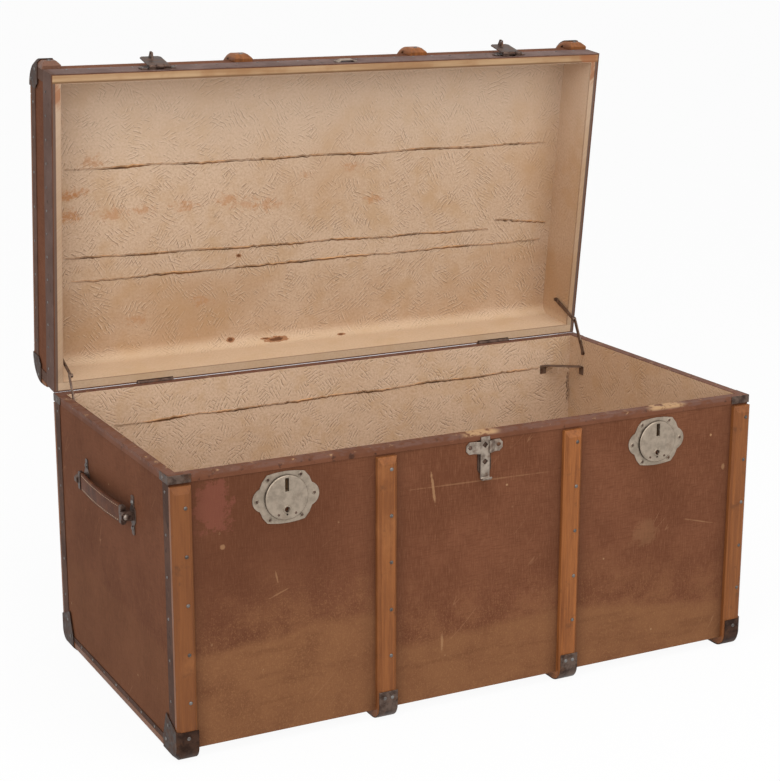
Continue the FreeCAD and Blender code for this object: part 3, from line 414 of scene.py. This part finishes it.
def soot_finish(name, colour):
    finish, tree, shader = new_finish(name, 0.9)
    spot = surface_place(tree, False)
    fade = between(tree, cloud(tree, spot, 20.0, 4.0, 0.7), 0.4, 0.62)
    tone = painted(tree, fade, colour, (colour[0] * 2.6, colour[1] * 2.7, colour[2] * 2.8, 1))
    tree.links.new(tone, shader.inputs["Base Color"])
    return finish


def show(name, mesh, finish, body):
    data = bpy.data.meshes.new(name)
    mesh.to_mesh(data)
    mesh.free()
    piece = bpy.data.objects.new(name, data)
    bpy.context.scene.collection.objects.link(piece)
    data.materials.append(finish)
    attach(piece, body)
    return piece


def ragged_strip(mesh, route, normal, widths, lift, seed):
    start, end = Vector(route[0]), Vector(route[1])
    side = normal.cross(end - start).normalized()
    strip = bmesh.ops.create_grid(mesh, x_segments=220, y_segments=1, size=0.5)["verts"]
    for vert in strip:
        share = vert.co.x + 0.5
        below = vert.co.y < 0
        fine = noise.noise((share * 90.0, seed, 0.0)) * 0.0016
        drift = fine + noise.noise((share * 9.0, seed, 4.0)) * 0.0024
        ragged = noise.noise((share * 130.0, seed, 3.0 if below else 7.0))
        spread = max(0.1, 0.6 + 1.1 * noise.noise((share * 13.0, seed, 9.0)) + 0.8 * ragged)
        fade = min(1.0, 12.0 * share, 12.0 * (1.0 - share))
        width = -widths[0] if below else widths[1]
        rise = lift if below else lift * 0.3
        vert.co = start.lerp(end, share) + side * (drift + width * spread * fade) + normal * rise


def split(name, routes, normal, body, matrix):
    slit = bmesh.new()
    lip = bmesh.new()
    for number, route in enumerate(routes):
        ragged_strip(slit, route, normal, slit_halves, slit_lift, number * 3.1)
        aside = normal.cross(Vector(route[1]) - Vector(route[0])).normalized() * lip_aside
        lifted = [Vector(point) + aside for point in route]
        ragged_strip(lip, lifted, normal, lip_halves, lip_lift, number * 3.1)
    for mesh in (slit, lip):
        bmesh.ops.transform(mesh, matrix=matrix, verts=mesh.verts)
        bmesh.ops.recalc_face_normals(mesh, faces=mesh.faces)
    show(name + "_slit", slit, slit_finish, body)
    show(name + "_lip", lip, lip_finish, body)


slit_finish = soot_finish("split_dark", (0.085, 0.035, 0.011, 1))
lip_finish = soot_finish("split_torn_edge", (0.225, 0.118, 0.052, 1))
split("lid_splits", lid_splits, Vector((0, 0, -1)), "lid", lid_open)
split("back_splits", back_splits, Vector((0, -1, 0)), "base", Matrix())


# Bindings: strips of brown vulcanised fibre nailed over the edges of base and lid.
# They are dulled by handling and scuffed, and worn through to the wood at two places along the front rim.
binding_out = 0.2465
rim_top = 0.4085
shaded_lid_end_edge = (0.4685, 0.4695)
worn_through = ((0.0, 0.036), (0.323, 0.04))


def worn_rim(tree, spot, height, scuff, fibre):
    worn = sums(tree, "MULTIPLY", between(tree, height, 0.403, 0.4065),
                between(tree, scuff, 0.42, 0.56, 0.1, 0.55))
    fibre = painted(tree, worn, fibre, (0.16, 0.09, 0.072, 1))
    chips = cloud(tree, stretched(tree, spot, (70.0, 70.0, 120.0)), 1.0, 5.0, 0.7)
    chips = between(tree, chips, 0.6, 0.66, 0.0, 0.7)
    for across, reach in worn_through:
        place = (across, trunk_middle - binding_out, rim_top)
        gone = put(tree, "ShaderNodeVectorMath", {0: spot, 1: place}, operation="DISTANCE")
        gone = between(tree, gone.outputs["Value"], reach, reach * 0.5)
        gone = sums(tree, "MULTIPLY", gone, between(tree, scuff, 0.4, 0.52))
        chips = sums(tree, "MAXIMUM", chips, gone)
    bared = sums(tree, "MULTIPLY", between(tree, height, 0.404, rim_top), chips)
    return painted(tree, sums(tree, "MULTIPLY", bared, 0.8), fibre, (0.5, 0.31, 0.16, 1))


def fibre_finish(name, on_lid, dark, pale):
    finish, tree, shader = new_finish(name, 0.6, shine=0.06)
    spot = surface_place(tree, on_lid)
    axes = axes_of(tree, spot)
    tone = cloud(tree, spot, 14.0, 6.0, 0.65)
    fibre = painted(tree, between(tree, tone, 0.35, 0.65), dark, pale)
    scuff = cloud(tree, stretched(tree, spot, (55.0, 55.0, 90.0)), 1.0, 6.0, 0.7)
    fibre = painted(tree, between(tree, scuff, 0.58, 0.74, 0.0, 0.5), fibre,
                    (pale[0] * 1.8, pale[1] * 1.9, pale[2] * 2.0, 1))
    crack = between(tree, cloud(tree, spot, 75.0, 4.0), 0.38, 0.28, 0.0, 0.7)
    fibre = painted(tree, crack, fibre, (0.03, 0.016, 0.012, 1))
    if on_lid:
        # Painted shade: the lid's rim binding is painted darker where it runs round the ends.
        shaded_ends = between(tree, sums(tree, "ABSOLUTE", axes[0], 0.0), *shaded_lid_end_edge, 0.0, 0.45)
        fibre = painted(tree, shaded_ends, fibre, (0.075, 0.033, 0.017, 1))
    else:
        fibre = worn_rim(tree, spot, axes[2], scuff, fibre)
    tree.links.new(fibre, shader.inputs["Base Color"])
    relief(tree, shader, sums(tree, "ADD", scuff, tone), 0.25, 0.0008)
    return finish


def soften(width, *names):
    for name in names:
        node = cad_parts[name]
        weld = node.modifiers.new("weld", "WELD")
        weld.merge_threshold = 0.00002
        edge = node.modifiers.new("edge", "BEVEL")
        edge.width = width
        edge.segments = 2
        edge.limit_method = "ANGLE"
        edge.angle_limit = math.radians(35)


rim_fibre = fibre_finish("rim_fibre", False, (0.122, 0.046, 0.024, 1), (0.16, 0.063, 0.034, 1))
end_fibre = fibre_finish("end_fibre", False, (0.055, 0.026, 0.017, 1), (0.09, 0.044, 0.029, 1))
lid_rim_fibre = fibre_finish("lid_rim_fibre", True, (0.108, 0.064, 0.053, 1), (0.17, 0.108, 0.092, 1))
lid_end_fibre = fibre_finish("lid_end_fibre", True, (0.09, 0.048, 0.036, 1), (0.145, 0.082, 0.063, 1))
dress(rim_fibre, "base_rim_binding")
dress(end_fibre, "base_end_bindings")
dress(lid_rim_fibre, "lid_rim_binding")
dress(lid_end_fibre, "lid_end_bindings")
soften(0.0006, "base_rim_binding", "base_end_bindings", "lid_rim_binding", "lid_end_bindings")


# Slats: ash battens with bevelled edges, varnished golden brown and nailed through canvas and board.
# On the lid they are steamed round the shoulders; the runners under the base are the same wood.
lid_slats = ("lid_front_slats", "lid_back_slats", "lid_top_slats")


def slat_finish(name, grain_scale, on_lid):
    finish, tree, shader = new_finish(name, 0.45, shine=0.16)
    spot = surface_place(tree, on_lid)
    axes = axes_of(tree, spot)
    grain = cloud(tree, stretched(tree, spot, grain_scale), 1.0, 7.0, 0.75)
    wood = painted(tree, between(tree, grain, 0.36, 0.64), (0.29, 0.101, 0.028, 1), (0.18, 0.058, 0.0165, 1))
    # Painted shade: the slats are painted darker towards the left end and towards the right end of the
    # trunk.
    painted_slat_shade = between(tree, axes[0], -0.46, 0.15, 0.6, 0.0)
    painted_slat_shade = sums(tree, "ADD", painted_slat_shade, between(tree, axes[0], 0.2, 0.46, 0.0, 0.35))
    wood = painted(tree, painted_slat_shade, wood, (0.13, 0.047, 0.017, 1))
    patch = cloud(tree, spot, 11.0, 5.0, 0.6)
    wood = painted(tree, between(tree, patch, 0.5, 0.72, 0.0, 0.45), wood, (0.36, 0.145, 0.05, 1))
    if on_lid:
        tinted = sums(tree, "MULTIPLY", between(tree, axes[0], -0.42, -0.45),
                      between(tree, axes[1], -0.25, -0.3, 0.0, 0.6))
        wood = painted(tree, tinted, wood, (0.15, 0.085, 0.066, 1))
    grime = between(tree, cloud(tree, spot, 48.0, 5.0, 0.65), 0.58, 0.74, 0.0, 0.6)
    wood = painted(tree, grime, wood, (0.085, 0.034, 0.015, 1))
    tree.links.new(wood, shader.inputs["Base Color"])
    tree.links.new(between(tree, patch, 0.3, 0.7, 0.36, 0.55), shader.inputs["Roughness"])
    relief(tree, shader, grain, 0.2, 0.0006)
    return finish


dress(slat_finish("upright_slat_wood", (170.0, 170.0, 7.0), False), "front_slats", "back_slats")
dress(slat_finish("runner_wood", (170.0, 7.0, 170.0), False), "bottom_runners")
dress(slat_finish("lid_slat_wood", (170.0, 7.0, 14.0), True), *lid_slats)
soften(0.0014, "front_slats", "back_slats", "bottom_runners", *lid_slats)


# Nails: cut steel nails with small domed heads, gone dull and rusty, along every slat and binding.
# The heads sit proud of the wood by about a millimetre.
# A row across an end is its number of nails, first place, step and height.
slat_out = 0.256
slat_nail_aside = 0.0045
slat_nail_heights = (0.378, 0.31, 0.241, 0.17, 0.1)
left_slat_drop = 0.012
shoulder_out = 0.212
shoulder_height = 0.474
shoulder_reach = 0.044
lid_side_height = 0.467
lid_top = 0.518
lid_top_nails = (-0.19, -0.11, -0.04, 0.04, 0.11, 0.19)
lid_band_height = 0.44
band_nail_count = 27
band_nail_first = -0.442
band_nail_step = 0.034
lock_across = 0.306
hasp_clear = 0.032
catch_across = 0.006
keeper_clear = 0.02
hinge_across = 0.31
hinge_clear = 0.034
end_face = 0.4755
lid_end_low_row = (13, -0.216, 0.036, 0.437)
lid_end_high_row = (8, -0.189, 0.054, 0.4985)
end_foot_row = (7, -0.162, 0.054, 0.0195)
end_upright_out = 0.232
end_upright_count = 6
end_upright_first = 0.085
end_upright_step = 0.06


def steel_finish(name, bright, dark, rust, roughness):
    finish, tree, shader = new_finish(name, roughness, 0.85)
    spot = surface_place(tree, False)
    tone = cloud(tree, spot, 90.0, 5.0, 0.65)
    steel = painted(tree, between(tree, tone, 0.35, 0.65), dark, bright)
    rusty = between(tree, cloud(tree, spot, 55.0, 6.0, 0.7), 0.52, 0.7, 0.0, rust)
    steel = painted(tree, rusty, steel, (0.12, 0.05, 0.022, 1))
    tree.links.new(steel, shader.inputs["Base Color"])
    gloss = between(tree, tone, 0.3, 0.7, roughness - 0.12, roughness + 0.15)
    tree.links.new(gloss, shader.inputs["Roughness"])
    relief(tree, shader, tone, 0.25, 0.0005)
    return finish


def smooth(mesh):
    for face in mesh.faces:
        face.smooth = True


def nails(name, places, radius, rise, body, finish, matrix=Matrix()):
    heads = bmesh.new()
    for point, outward in places:
        head = bmesh.ops.create_uvsphere(heads, u_segments=8, v_segments=6, radius=radius)["verts"]
        turn = Vector(outward).to_track_quat("Z", "Y").to_matrix().to_4x4()
        flat = Matrix.Diagonal((1.0, 1.0, rise / radius, 1.0))
        bmesh.ops.transform(heads, matrix=matrix @ Matrix.Translation(point) @ turn @ flat, verts=head)
    smooth(heads)
    return show(name, heads, finish, body)


def end_row(sign, count, first, step, height):
    row = []
    for number in range(count):
        row.append(((sign * end_face, trunk_middle + first + number * step, height), (sign, 0, 0)))
    return row


nail_steel = steel_finish("nail_steel", (0.2, 0.19, 0.18, 1), (0.075, 0.06, 0.052, 1), 0.6, 0.42)
slat_nails = []
for across in slat_across:
    lower = left_slat_drop if across == slat_across[0] else 0.0
    for height in slat_nail_heights:
        for side in (-1, 1):
            place = (across + slat_nail_aside, trunk_middle + side * slat_out, height - lower)
            slat_nails.append((place, (0, side, 0)))
nails("slat_nails", slat_nails, radius=0.0029, rise=0.0013, body="base", finish=nail_steel)
lid_nails = []
for across in slat_across:
    for side in (-1, 1):
        lid_nails.append(((across, trunk_middle + side * slat_out, lid_side_height), (0, side, 0)))
        bend = Vector((0, side * math.sqrt(0.5), math.sqrt(0.5)))
        centre = Vector((across, trunk_middle + side * shoulder_out, shoulder_height))
        lid_nails.append((centre + bend * shoulder_reach, bend))
    for back in lid_top_nails:
        lid_nails.append(((across, trunk_middle + back, lid_top), (0, 0, 1)))
nails("lid_slat_nails", lid_nails, radius=0.0033, rise=0.0014, body="lid",
      finish=nail_steel, matrix=lid_open)
band_nails = []
for step in range(band_nail_count):
    across = band_nail_first + step * band_nail_step
    if abs(abs(across) - lock_across) > hasp_clear and abs(across - catch_across) > keeper_clear:
        band_nails.append(((across, trunk_middle - binding_out, lid_band_height), (0, -1, 0)))
    if abs(abs(across) - hinge_across) > hinge_clear:
        band_nails.append(((across, trunk_middle + binding_out, lid_band_height), (0, 1, 0)))
for sign in (-1, 1):
    band_nails += end_row(sign, *lid_end_low_row) + end_row(sign, *lid_end_high_row)
nails("lid_binding_nails", band_nails, radius=0.0022, rise=0.0009, body="lid",
      finish=nail_steel, matrix=lid_open)
end_nails = []
for sign in (-1, 1):
    for step in range(end_upright_count):
        height = end_upright_first + step * end_upright_step
        for side in (-1, 1):
            place = (sign * end_face, trunk_middle + side * end_upright_out, height)
            end_nails.append((place, (sign, 0, 0)))
    end_nails += end_row(sign, *end_foot_row)
nails("end_binding_nails", end_nails, radius=0.0022, rise=0.0009, body="base", finish=nail_steel)


# Caps and brackets: pressed sheet-steel corners folded over the slat ends, the lower corners, the rim and
# the lid's shoulders, each held by one to three nails. The corners and shoulders are black-lacquered,
# and the caps on the middle slats and the brackets at the rim are worn to bare steel.
cap_out = 0.2575
cap_end_face = 0.477
bracket_end_face = 0.4767
shoulder_end_face = 0.4769
foot_nail_aside = 0.006
foot_nail_height = 0.036
corner_nail_height = 0.037
corner_end_nails = ((0.222, 0.046), (0.212, 0.022))
bracket_nail_out = 0.228
bracket_nail_height = 0.4045
shoulder_nail_reach = 0.031
shoulder_nail_leans = (0.35, 1.2)
lacquered = steel_finish("lacquered_steel", (0.068, 0.034, 0.022, 1), (0.026, 0.012, 0.0075, 1), 0.5, 0.55)
bare_steel = steel_finish("worn_steel", (0.135, 0.093, 0.073, 1), (0.04, 0.023, 0.017, 1), 0.7, 0.5)
dress(lacquered, "corner_caps", "lid_shoulder_caps")
dress(bare_steel, "foot_caps", "rim_brackets")
soften(0.0009, "corner_caps", "foot_caps", "rim_brackets", "lid_shoulder_caps")
cap_nails = []
shoulder_nails = []
for sign in (-1, 1):
    for side in (-1, 1):
        front = trunk_middle + side * cap_out
        for aside in (-foot_nail_aside, foot_nail_aside):
            cap_nails.append(((sign * slat_across[2] + aside, front, foot_nail_height), (0, side, 0)))
        cap_nails.append(((sign * slat_across[3], front, corner_nail_height), (0, side, 0)))
        for out, height in corner_end_nails:
            cap_nails.append(((sign * cap_end_face, trunk_middle + side * out, height), (sign, 0, 0)))
        place = (sign * bracket_end_face, trunk_middle + side * bracket_nail_out, bracket_nail_height)
        cap_nails.append((place, (sign, 0, 0)))
        centre = Vector((sign * shoulder_end_face, trunk_middle + side * shoulder_out, shoulder_height))
        for lean in shoulder_nail_leans:
            outward = Vector((0, side * math.cos(lean), math.sin(lean)))
            shoulder_nails.append((centre + outward * shoulder_nail_reach, (sign, 0, 0)))
nails("cap_nails", cap_nails, radius=0.003, rise=0.0012, body="base", finish=nail_steel)
nails("shoulder_cap_nails", shoulder_nails, radius=0.003, rise=0.0012, body="lid",
      finish=nail_steel, matrix=lid_open)


# Hinges and stays: plain steel butt hinges screwed to the back, and jointed flat-bar stays riveted to the
# ends. The steel is brown with age; a bent strip braces the back right corner inside.
hinge_screw_aside = (-0.02, 0.0, 0.02)
base_screw_height = 0.383
lid_screw_height = 0.438
aged_steel = steel_finish("aged_steel", (0.14, 0.09, 0.068, 1), (0.055, 0.032, 0.024, 1), 0.8, 0.5)
stay_steel = steel_finish("stay_steel", (0.22, 0.15, 0.11, 1), (0.1, 0.06, 0.043, 1), 0.6, 0.5)
dress(aged_steel, "hinge_leaves_base", "hinge_leaves_lid")
dress(stay_steel, "stay_lower_left", "stay_lower_right", "stay_upper_left", "stay_upper_right",
      "stay_base_rivets", "stay_lid_rivets", "corner_bracket")
soften(0.0004, "hinge_leaves_base", "hinge_leaves_lid", "corner_bracket")
leaf_screws = []
lid_leaf_screws = []
for middle in (-hinge_across, hinge_across):
    for aside in hinge_screw_aside:
        place = (middle + aside, trunk_middle + binding_out, base_screw_height)
        leaf_screws.append((place, (0, 1, 0)))
        place = (middle + aside, trunk_middle + binding_out, lid_screw_height)
        lid_leaf_screws.append((place, (0, 1, 0)))
nails("hinge_screws_base", leaf_screws, radius=0.003, rise=0.0008, body="base", finish=nail_steel)
nails("hinge_screws_lid", lid_leaf_screws, radius=0.003, rise=0.0008, body="lid",
      finish=nail_steel, matrix=lid_open)


# Locks: nickelled brass plates held to the front by six eyeleted nails, each with a raised round cover.
# The cover has a slot for the hasp's staple, a keyhole with a turned ring round it and two small rivets.
lock_height = 0.3575
keyhole_height = 0.341
lock_rivet_height = 0.3345
lock_rivet_aside = 0.0128
lock_plate_face = -0.2962
lock_cover_face = -0.3002
lock_cover_wall = (0.0312, 0.0318)
lock_cover_edge = (-0.2992, -0.2985)
lock_nail_places = ((-0.027, 0.028), (0.022, 0.03), (0.0425, 0.001), (0.0235, -0.0285), (-0.0245, -0.0295),
                    (-0.0435, -0.001))
key_ring = ((0.0039, 0.0), (0.0043, 0.0009), (0.0056, 0.0009), (0.0062, 0.0))
eyelet = ((0.0019, 0.0), (0.0023, 0.0009), (0.003, 0.0009), (0.0036, 0.0))


def nickel_finish(name):
    return steel_finish(name, (0.36, 0.293, 0.228, 1), (0.26, 0.21, 0.16, 1), 0.2, 0.45)


# Painted shade: the upright wall round each lock cover is painted dark, as the shade on its side.
def paint_shade_on_cover_wall(finish):
    tree = finish.node_tree
    colour = tree.nodes["Principled BSDF"].inputs["Base Color"]
    axes = axes_of(tree, surface_place(tree, False))
    across = sums(tree, "SUBTRACT", sums(tree, "ABSOLUTE", axes[0], 0.0), lock_across)
    rise = sums(tree, "SUBTRACT", axes[2], lock_height)
    place = put(tree, "ShaderNodeCombineXYZ", {0: across, 1: rise, 2: 0.0}).outputs[0]
    painted_wall_shade = sums(tree, "MULTIPLY", between(tree, length(tree, place), *lock_cover_wall),
                between(tree, axes[1], *lock_cover_edge))
    plain = colour.links[0].from_socket
    tree.links.new(painted(tree, painted_wall_shade, plain, (0.055, 0.038, 0.028, 1)), colour)


def rings(name, places, profile, finish, body):
    turned = bmesh.new()
    for centre in places:
        ridge = [turned.verts.new((centre[0] + out, centre[1] - rise, centre[2])) for out, rise in profile]
        chain = [turned.edges.new(pair) for pair in zip(ridge, ridge[1:])]
        bmesh.ops.spin(turned, geom=ridge + chain, cent=centre, axis=(0, 1, 0), angle=2 * math.pi, steps=20,
                       use_merge=True)
    bmesh.ops.remove_doubles(turned, verts=turned.verts, dist=0.00001)
    bmesh.ops.recalc_face_normals(turned, faces=turned.faces)
    show(name, turned, finish, body)


nickel = nickel_finish("dull_nickel")
cover_nickel = nickel_finish("shaded_nickel")
paint_shade_on_cover_wall(cover_nickel)
dress(nickel, "lock_plates", "lock_bolt_left", "lock_bolt_right")
dress(cover_nickel, "lock_covers")
soften(0.0004, "lock_plates", "lock_covers")
lock_nails = []
lock_rivets = []
keyholes = []
for across in (-lock_across, lock_across):
    for aside, rise in lock_nail_places:
        lock_nails.append(((across + aside, lock_plate_face, lock_height + rise), (0, -1, 0)))
    for side in (-1, 1):
        place = (across + side * lock_rivet_aside, lock_cover_face, lock_rivet_height)
        lock_rivets.append((place, (0, -1, 0)))
    keyholes.append((across, lock_cover_face, keyhole_height))
rings("key_rings", keyholes, key_ring, nickel, "base")
rings("lock_eyelets", [place for place, outward in lock_nails], eyelet, nickel, "base")
nails("lock_nails", lock_nails, radius=0.0022, rise=0.0008, body="base", finish=aged_steel)
nails("lock_rivets", lock_rivets, radius=0.0019, rise=0.0008, body="base", finish=aged_steel)


# Hasps: steel flaps on the lid rim that fold down over the locks, now standing open.
# Each hangs on a pin in its plate and carries a pierced staple for the lock bolt.
hasp_plate_face = -0.2983
hasp_rivet_aside = 0.0235
hasp_rivet_height = 0.4245
dress(aged_steel, "hasp_plates", "hasp_flap_left", "hasp_flap_right")
soften(0.0004, "hasp_plates", "hasp_flap_left", "hasp_flap_right")
hasp_rivets = []
for across in (-lock_across, lock_across):
    for side in (-1, 1):
        place = (across + side * hasp_rivet_aside, hasp_plate_face, hasp_rivet_height)
        hasp_rivets.append((place, (0, -1, 0)))
nails("hasp_rivets", hasp_rivets, radius=0.0028, rise=0.0011, body="lid",
      finish=nail_steel, matrix=lid_open)


# Centre catch: a galvanised strip with two diamond holes and a curled end, held by a nailed guide.
# It lifts into a small bridge on the lid; the plate behind it is painted dark, as rust and as painted shade
# seen through the diamond holes.
catch_guide_face = -0.2964
catch_nail_aside = 0.0235
catch_nail_height = 0.389
keeper_face = -0.2979
keeper_nail_aside = 0.0162
keeper_nail_height = 0.4215
zinc = steel_finish("grey_zinc", (0.36, 0.3, 0.245, 1), (0.17, 0.13, 0.102, 1), 0.5, 0.5)
# The plate behind the catch is rusty and painted dark, standing also for the shade inside the diamond holes.
rusty_shaded_plate = steel_finish("rusty_shaded_plate", (0.12, 0.075, 0.055, 1), (0.05, 0.03, 0.022, 1), 0.8, 0.6)
dress(zinc, "catch_guide", "catch_bolt", "catch_keeper")
dress(rusty_shaded_plate, "catch_plate")
soften(0.0004, "catch_plate", "catch_guide", "catch_bolt", "catch_keeper")
catch_nails = []
keeper_nails = []
for side in (-1, 1):
    place = (catch_across + side * catch_nail_aside, catch_guide_face, catch_nail_height)
    catch_nails.append((place, (0, -1, 0)))
    place = (catch_across + side * keeper_nail_aside, keeper_face, keeper_nail_height)
    keeper_nails.append((place, (0, -1, 0)))
nails("catch_nails", catch_nails, radius=0.0034, rise=0.0013, body="base", finish=aged_steel)
nails("keeper_nails", keeper_nails, radius=0.0022, rise=0.001, body="lid",
      finish=zinc, matrix=lid_open)


# Handles: a double strap of brown bridle leather on each end, stitched along both long edges with waxed
# thread. Its metal ends turn in eyes on plates that are riveted through the board.
handle_height = 0.314
mount_half_span = 0.1
mount_rivet_rise = 0.019
pivot_half_span = 0.105
strap_axis = 0.487
strap_half = 0.0861
strap_thick = 0.0052
strap_width = 0.0266
strap_round = 0.0017
strap_bow = 0.004
strap_ripple = 0.0005
strap_cuts = 28
stitch_size = (0.0009, 0.0042, 0.0011)
stitch_count = 27
stitch_step = 0.006
stitch_first = -0.078
stitch_line = 0.0102


def leather_finish():
    finish, tree, shader = new_finish("bridle_leather", 0.6, shine=0.15)
    spot = surface_place(tree, False)
    hide = cloud(tree, spot, 30.0, 6.0, 0.65)
    leather = between(tree, hide, 0.35, 0.65)
    leather = painted(tree, leather, (0.06, 0.018, 0.007, 1), (0.115, 0.037, 0.014, 1))
    rubbed = between(tree, cloud(tree, spot, 75.0, 5.0, 0.7), 0.54, 0.7, 0.0, 0.6)
    leather = painted(tree, rubbed, leather, (0.18, 0.07, 0.03, 1))
    tree.links.new(leather, shader.inputs["Base Color"])
    pores = put(tree, "ShaderNodeTexVoronoi", {"Vector": spot, "Scale": 800.0}).outputs["Distance"]
    relief(tree, shader, sums(tree, "ADD", pores, sums(tree, "MULTIPLY", hide, 2.0)), 0.3, 0.0006)
    return finish


def thread_finish():
    finish, tree, shader = new_finish("waxed_thread", 0.7)
    spot = surface_place(tree, False)
    twist = cloud(tree, spot, 500.0, 3.0)
    thread = painted(tree, between(tree, twist, 0.35, 0.65), (0.34, 0.22, 0.13, 1), (0.55, 0.4, 0.26, 1))
    tree.links.new(thread, shader.inputs["Base Color"])
    return finish


def lengthwise(mesh):
    return [edge for edge in mesh.edges if abs(edge.verts[0].co.y - edge.verts[1].co.y) > 0.01]


def leather_strap(side, sign):
    strap = bmesh.new()
    bmesh.ops.create_cube(strap, size=1.0)
    bmesh.ops.scale(strap, vec=(strap_thick, 2 * strap_half, strap_width), verts=strap.verts)
    bmesh.ops.bevel(strap, geom=lengthwise(strap), offset=strap_round, segments=3, profile=0.5,
                    affect="EDGES", material=-1)
    bmesh.ops.subdivide_edges(strap, edges=lengthwise(strap), cuts=strap_cuts, use_grid_fill=True)
    for vert in strap.verts:
        spread = max(0.0, 1.0 - (vert.co.y / strap_half) ** 2)
        wave = noise.noise((vert.co.y * 40.0, vert.co.z * 30.0, sign)) * strap_ripple
        vert.co.x = strap_axis + vert.co.x + strap_bow * spread + wave * spread
        vert.co.z += handle_height + wave * spread
        vert.co.y += trunk_middle
    if sign < 0:
        bmesh.ops.scale(strap, vec=(-1.0, 1.0, 1.0), verts=strap.verts)
    bmesh.ops.recalc_face_normals(strap, faces=strap.faces)
    smooth(strap)
    piece = show("leather_strap_" + side, strap, bridle, "handle_" + side)
    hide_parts("handle_strap_" + side)


def strap_stitching(side, sign):
    stitching = bmesh.new()
    for step in range(stitch_count):
        along = stitch_first + step * stitch_step
        spread = 1.0 - (along / strap_half) ** 2
        out = strap_axis + strap_bow * spread + strap_thick / 2
        for edge in (-1, 1):
            stitch = bmesh.ops.create_uvsphere(stitching, u_segments=6, v_segments=6, radius=0.5)["verts"]
            place = (sign * out, trunk_middle + along, handle_height + edge * stitch_line)
            matrix = Matrix.Translation(place) @ Matrix.Diagonal((*stitch_size, 1.0))
            bmesh.ops.transform(stitching, matrix=matrix, verts=stitch)
    smooth(stitching)
    show("strap_stitching_" + side, stitching, waxed, "handle_" + side)


bridle = leather_finish()
waxed = thread_finish()
leather_strap("left", -1)
strap_stitching("left", -1)
leather_strap("right", 1)
strap_stitching("right", 1)
dress(aged_steel, "handle_mounts", "handle_ends_left", "handle_ends_right")
soften(0.0005, "handle_mounts", "handle_ends_left", "handle_ends_right")
mount_rivets = []
for sign in (-1, 1):
    for end in (-1, 1):
        for level in (-1, 1):
            height = handle_height + level * mount_rivet_rise
            place = (sign * end_face, trunk_middle + end * mount_half_span, height)
            mount_rivets.append((place, (sign, 0, 0)))
nails("mount_rivets", mount_rivets, radius=0.004, rise=0.0022, body="base", finish=nail_steel)
pivot_steel = steel_finish("rubbed_steel", (0.36, 0.3, 0.25, 1), (0.16, 0.12, 0.1, 1), 0.5, 0.4)
for side, sign in (("left", -1), ("right", 1)):
    pivot_heads = []
    for end in (-1, 1):
        place = (sign * strap_axis, trunk_middle + end * pivot_half_span, handle_height)
        pivot_heads.append((place, (0, end, 0)))
    nails("pivot_heads_" + side, pivot_heads, radius=0.0045, rise=0.0032, body="handle_" + side,
          finish=pivot_steel)


# Floor: a wide sheet of matt white card under the trunk, laid flat.
# It reads as the white of the photograph where it is seen directly, and keeps the trunk's shadow.
floor_half = 30.0
floor_mesh = bmesh.new()
bmesh.ops.create_grid(floor_mesh, x_segments=1, y_segments=1, size=floor_half)
floor_data = bpy.data.meshes.new("studio_floor")
floor_mesh.to_mesh(floor_data)
floor_mesh.free()
floor = bpy.data.objects.new("studio_floor", floor_data)
bpy.context.scene.collection.objects.link(floor)
floor_paint, floor_tree, floor_shader = new_finish("studio_white", 0.9, shine=0.0)
floor_shader.inputs["Base Color"].default_value = (0.86, 0.86, 0.86, 1)


def seen_directly(tree):
    path = tree.nodes.new("ShaderNodeLightPath").outputs
    seen = sums(tree, "MAXIMUM", path["Is Camera Ray"], path["Is Glossy Ray"])
    return sums(tree, "MAXIMUM", seen, path["Is Transmission Ray"])


floor_glow = put(floor_tree, "ShaderNodeEmission", {"Color": (1, 1, 1, 1), "Strength": 1.0})
floor_share = sums(floor_tree, "MULTIPLY", seen_directly(floor_tree), 0.94)
floor_mix = put(floor_tree, "ShaderNodeMixShader", {0: floor_share, 1: floor_shader.outputs[0],
                                                    2: floor_glow.outputs[0]})
floor_tree.links.new(floor_mix.outputs[0], floor_tree.nodes["Material Output"].inputs["Surface"])
floor_data.materials.append(floor_paint)


# Studio light: an even white surround, with wide soft lamps in front on the left and right and one overhead.
# The level is plain, so that each colour renders about as it is written.
lit_point = Vector((0, 0, 0.4))
world = bpy.data.worlds.new("studio")
bpy.context.scene.world = world
world.use_nodes = True
surround = world.node_tree.nodes["Background"]
surround.inputs["Color"].default_value = (1, 1, 1, 1)
surround_level = between(world.node_tree, seen_directly(world.node_tree), 0.0, 1.0, 0.62, 1.0)
world.node_tree.links.new(surround_level, surround.inputs["Strength"])


def lamp(name, place, size, power):
    light = bpy.data.lights.new(name, "AREA")
    light.size = size
    light.energy = power
    fixture = bpy.data.objects.new(name, light)
    fixture.location = place
    fixture.rotation_euler = (lit_point - Vector(place)).to_track_quat("-Z", "Y").to_euler()
    bpy.context.scene.collection.objects.link(fixture)


lamp("left_softbox", (-2.5, -2.6, 1.8), size=2.6, power=51)
lamp("right_softbox", (1.8, -3.0, 1.9), size=2.0, power=28)
lamp("overhead_softbox", (-0.2, -1.3, 3.2), size=2.2, power=42)
bpy.context.scene.view_settings.view_transform = "Standard"


# Camera: a long lens in front of the left corner and a little above the rim, as the photograph was taken.
# Its place, turn, lens and shift were solved from the corners of the trunk.
camera_tilt = math.radians(90 - 14.94)
camera_turn = math.radians(-26.948)
camera_data = bpy.data.cameras.new("camera")
camera_data.sensor_fit = "HORIZONTAL"
camera_data.sensor_width = 36.0
camera_data.lens = 84.674
camera_data.shift_x = 0.02269
camera_data.shift_y = 0.02346
camera_data.clip_end = 100.0
camera = bpy.data.objects.new("camera", camera_data)
camera.location = (-1.2812, -2.4734, 1.1177)
camera.rotation_euler = (camera_tilt, 0.0, camera_turn)
bpy.context.scene.collection.objects.link(camera)
bpy.context.scene.camera = camera
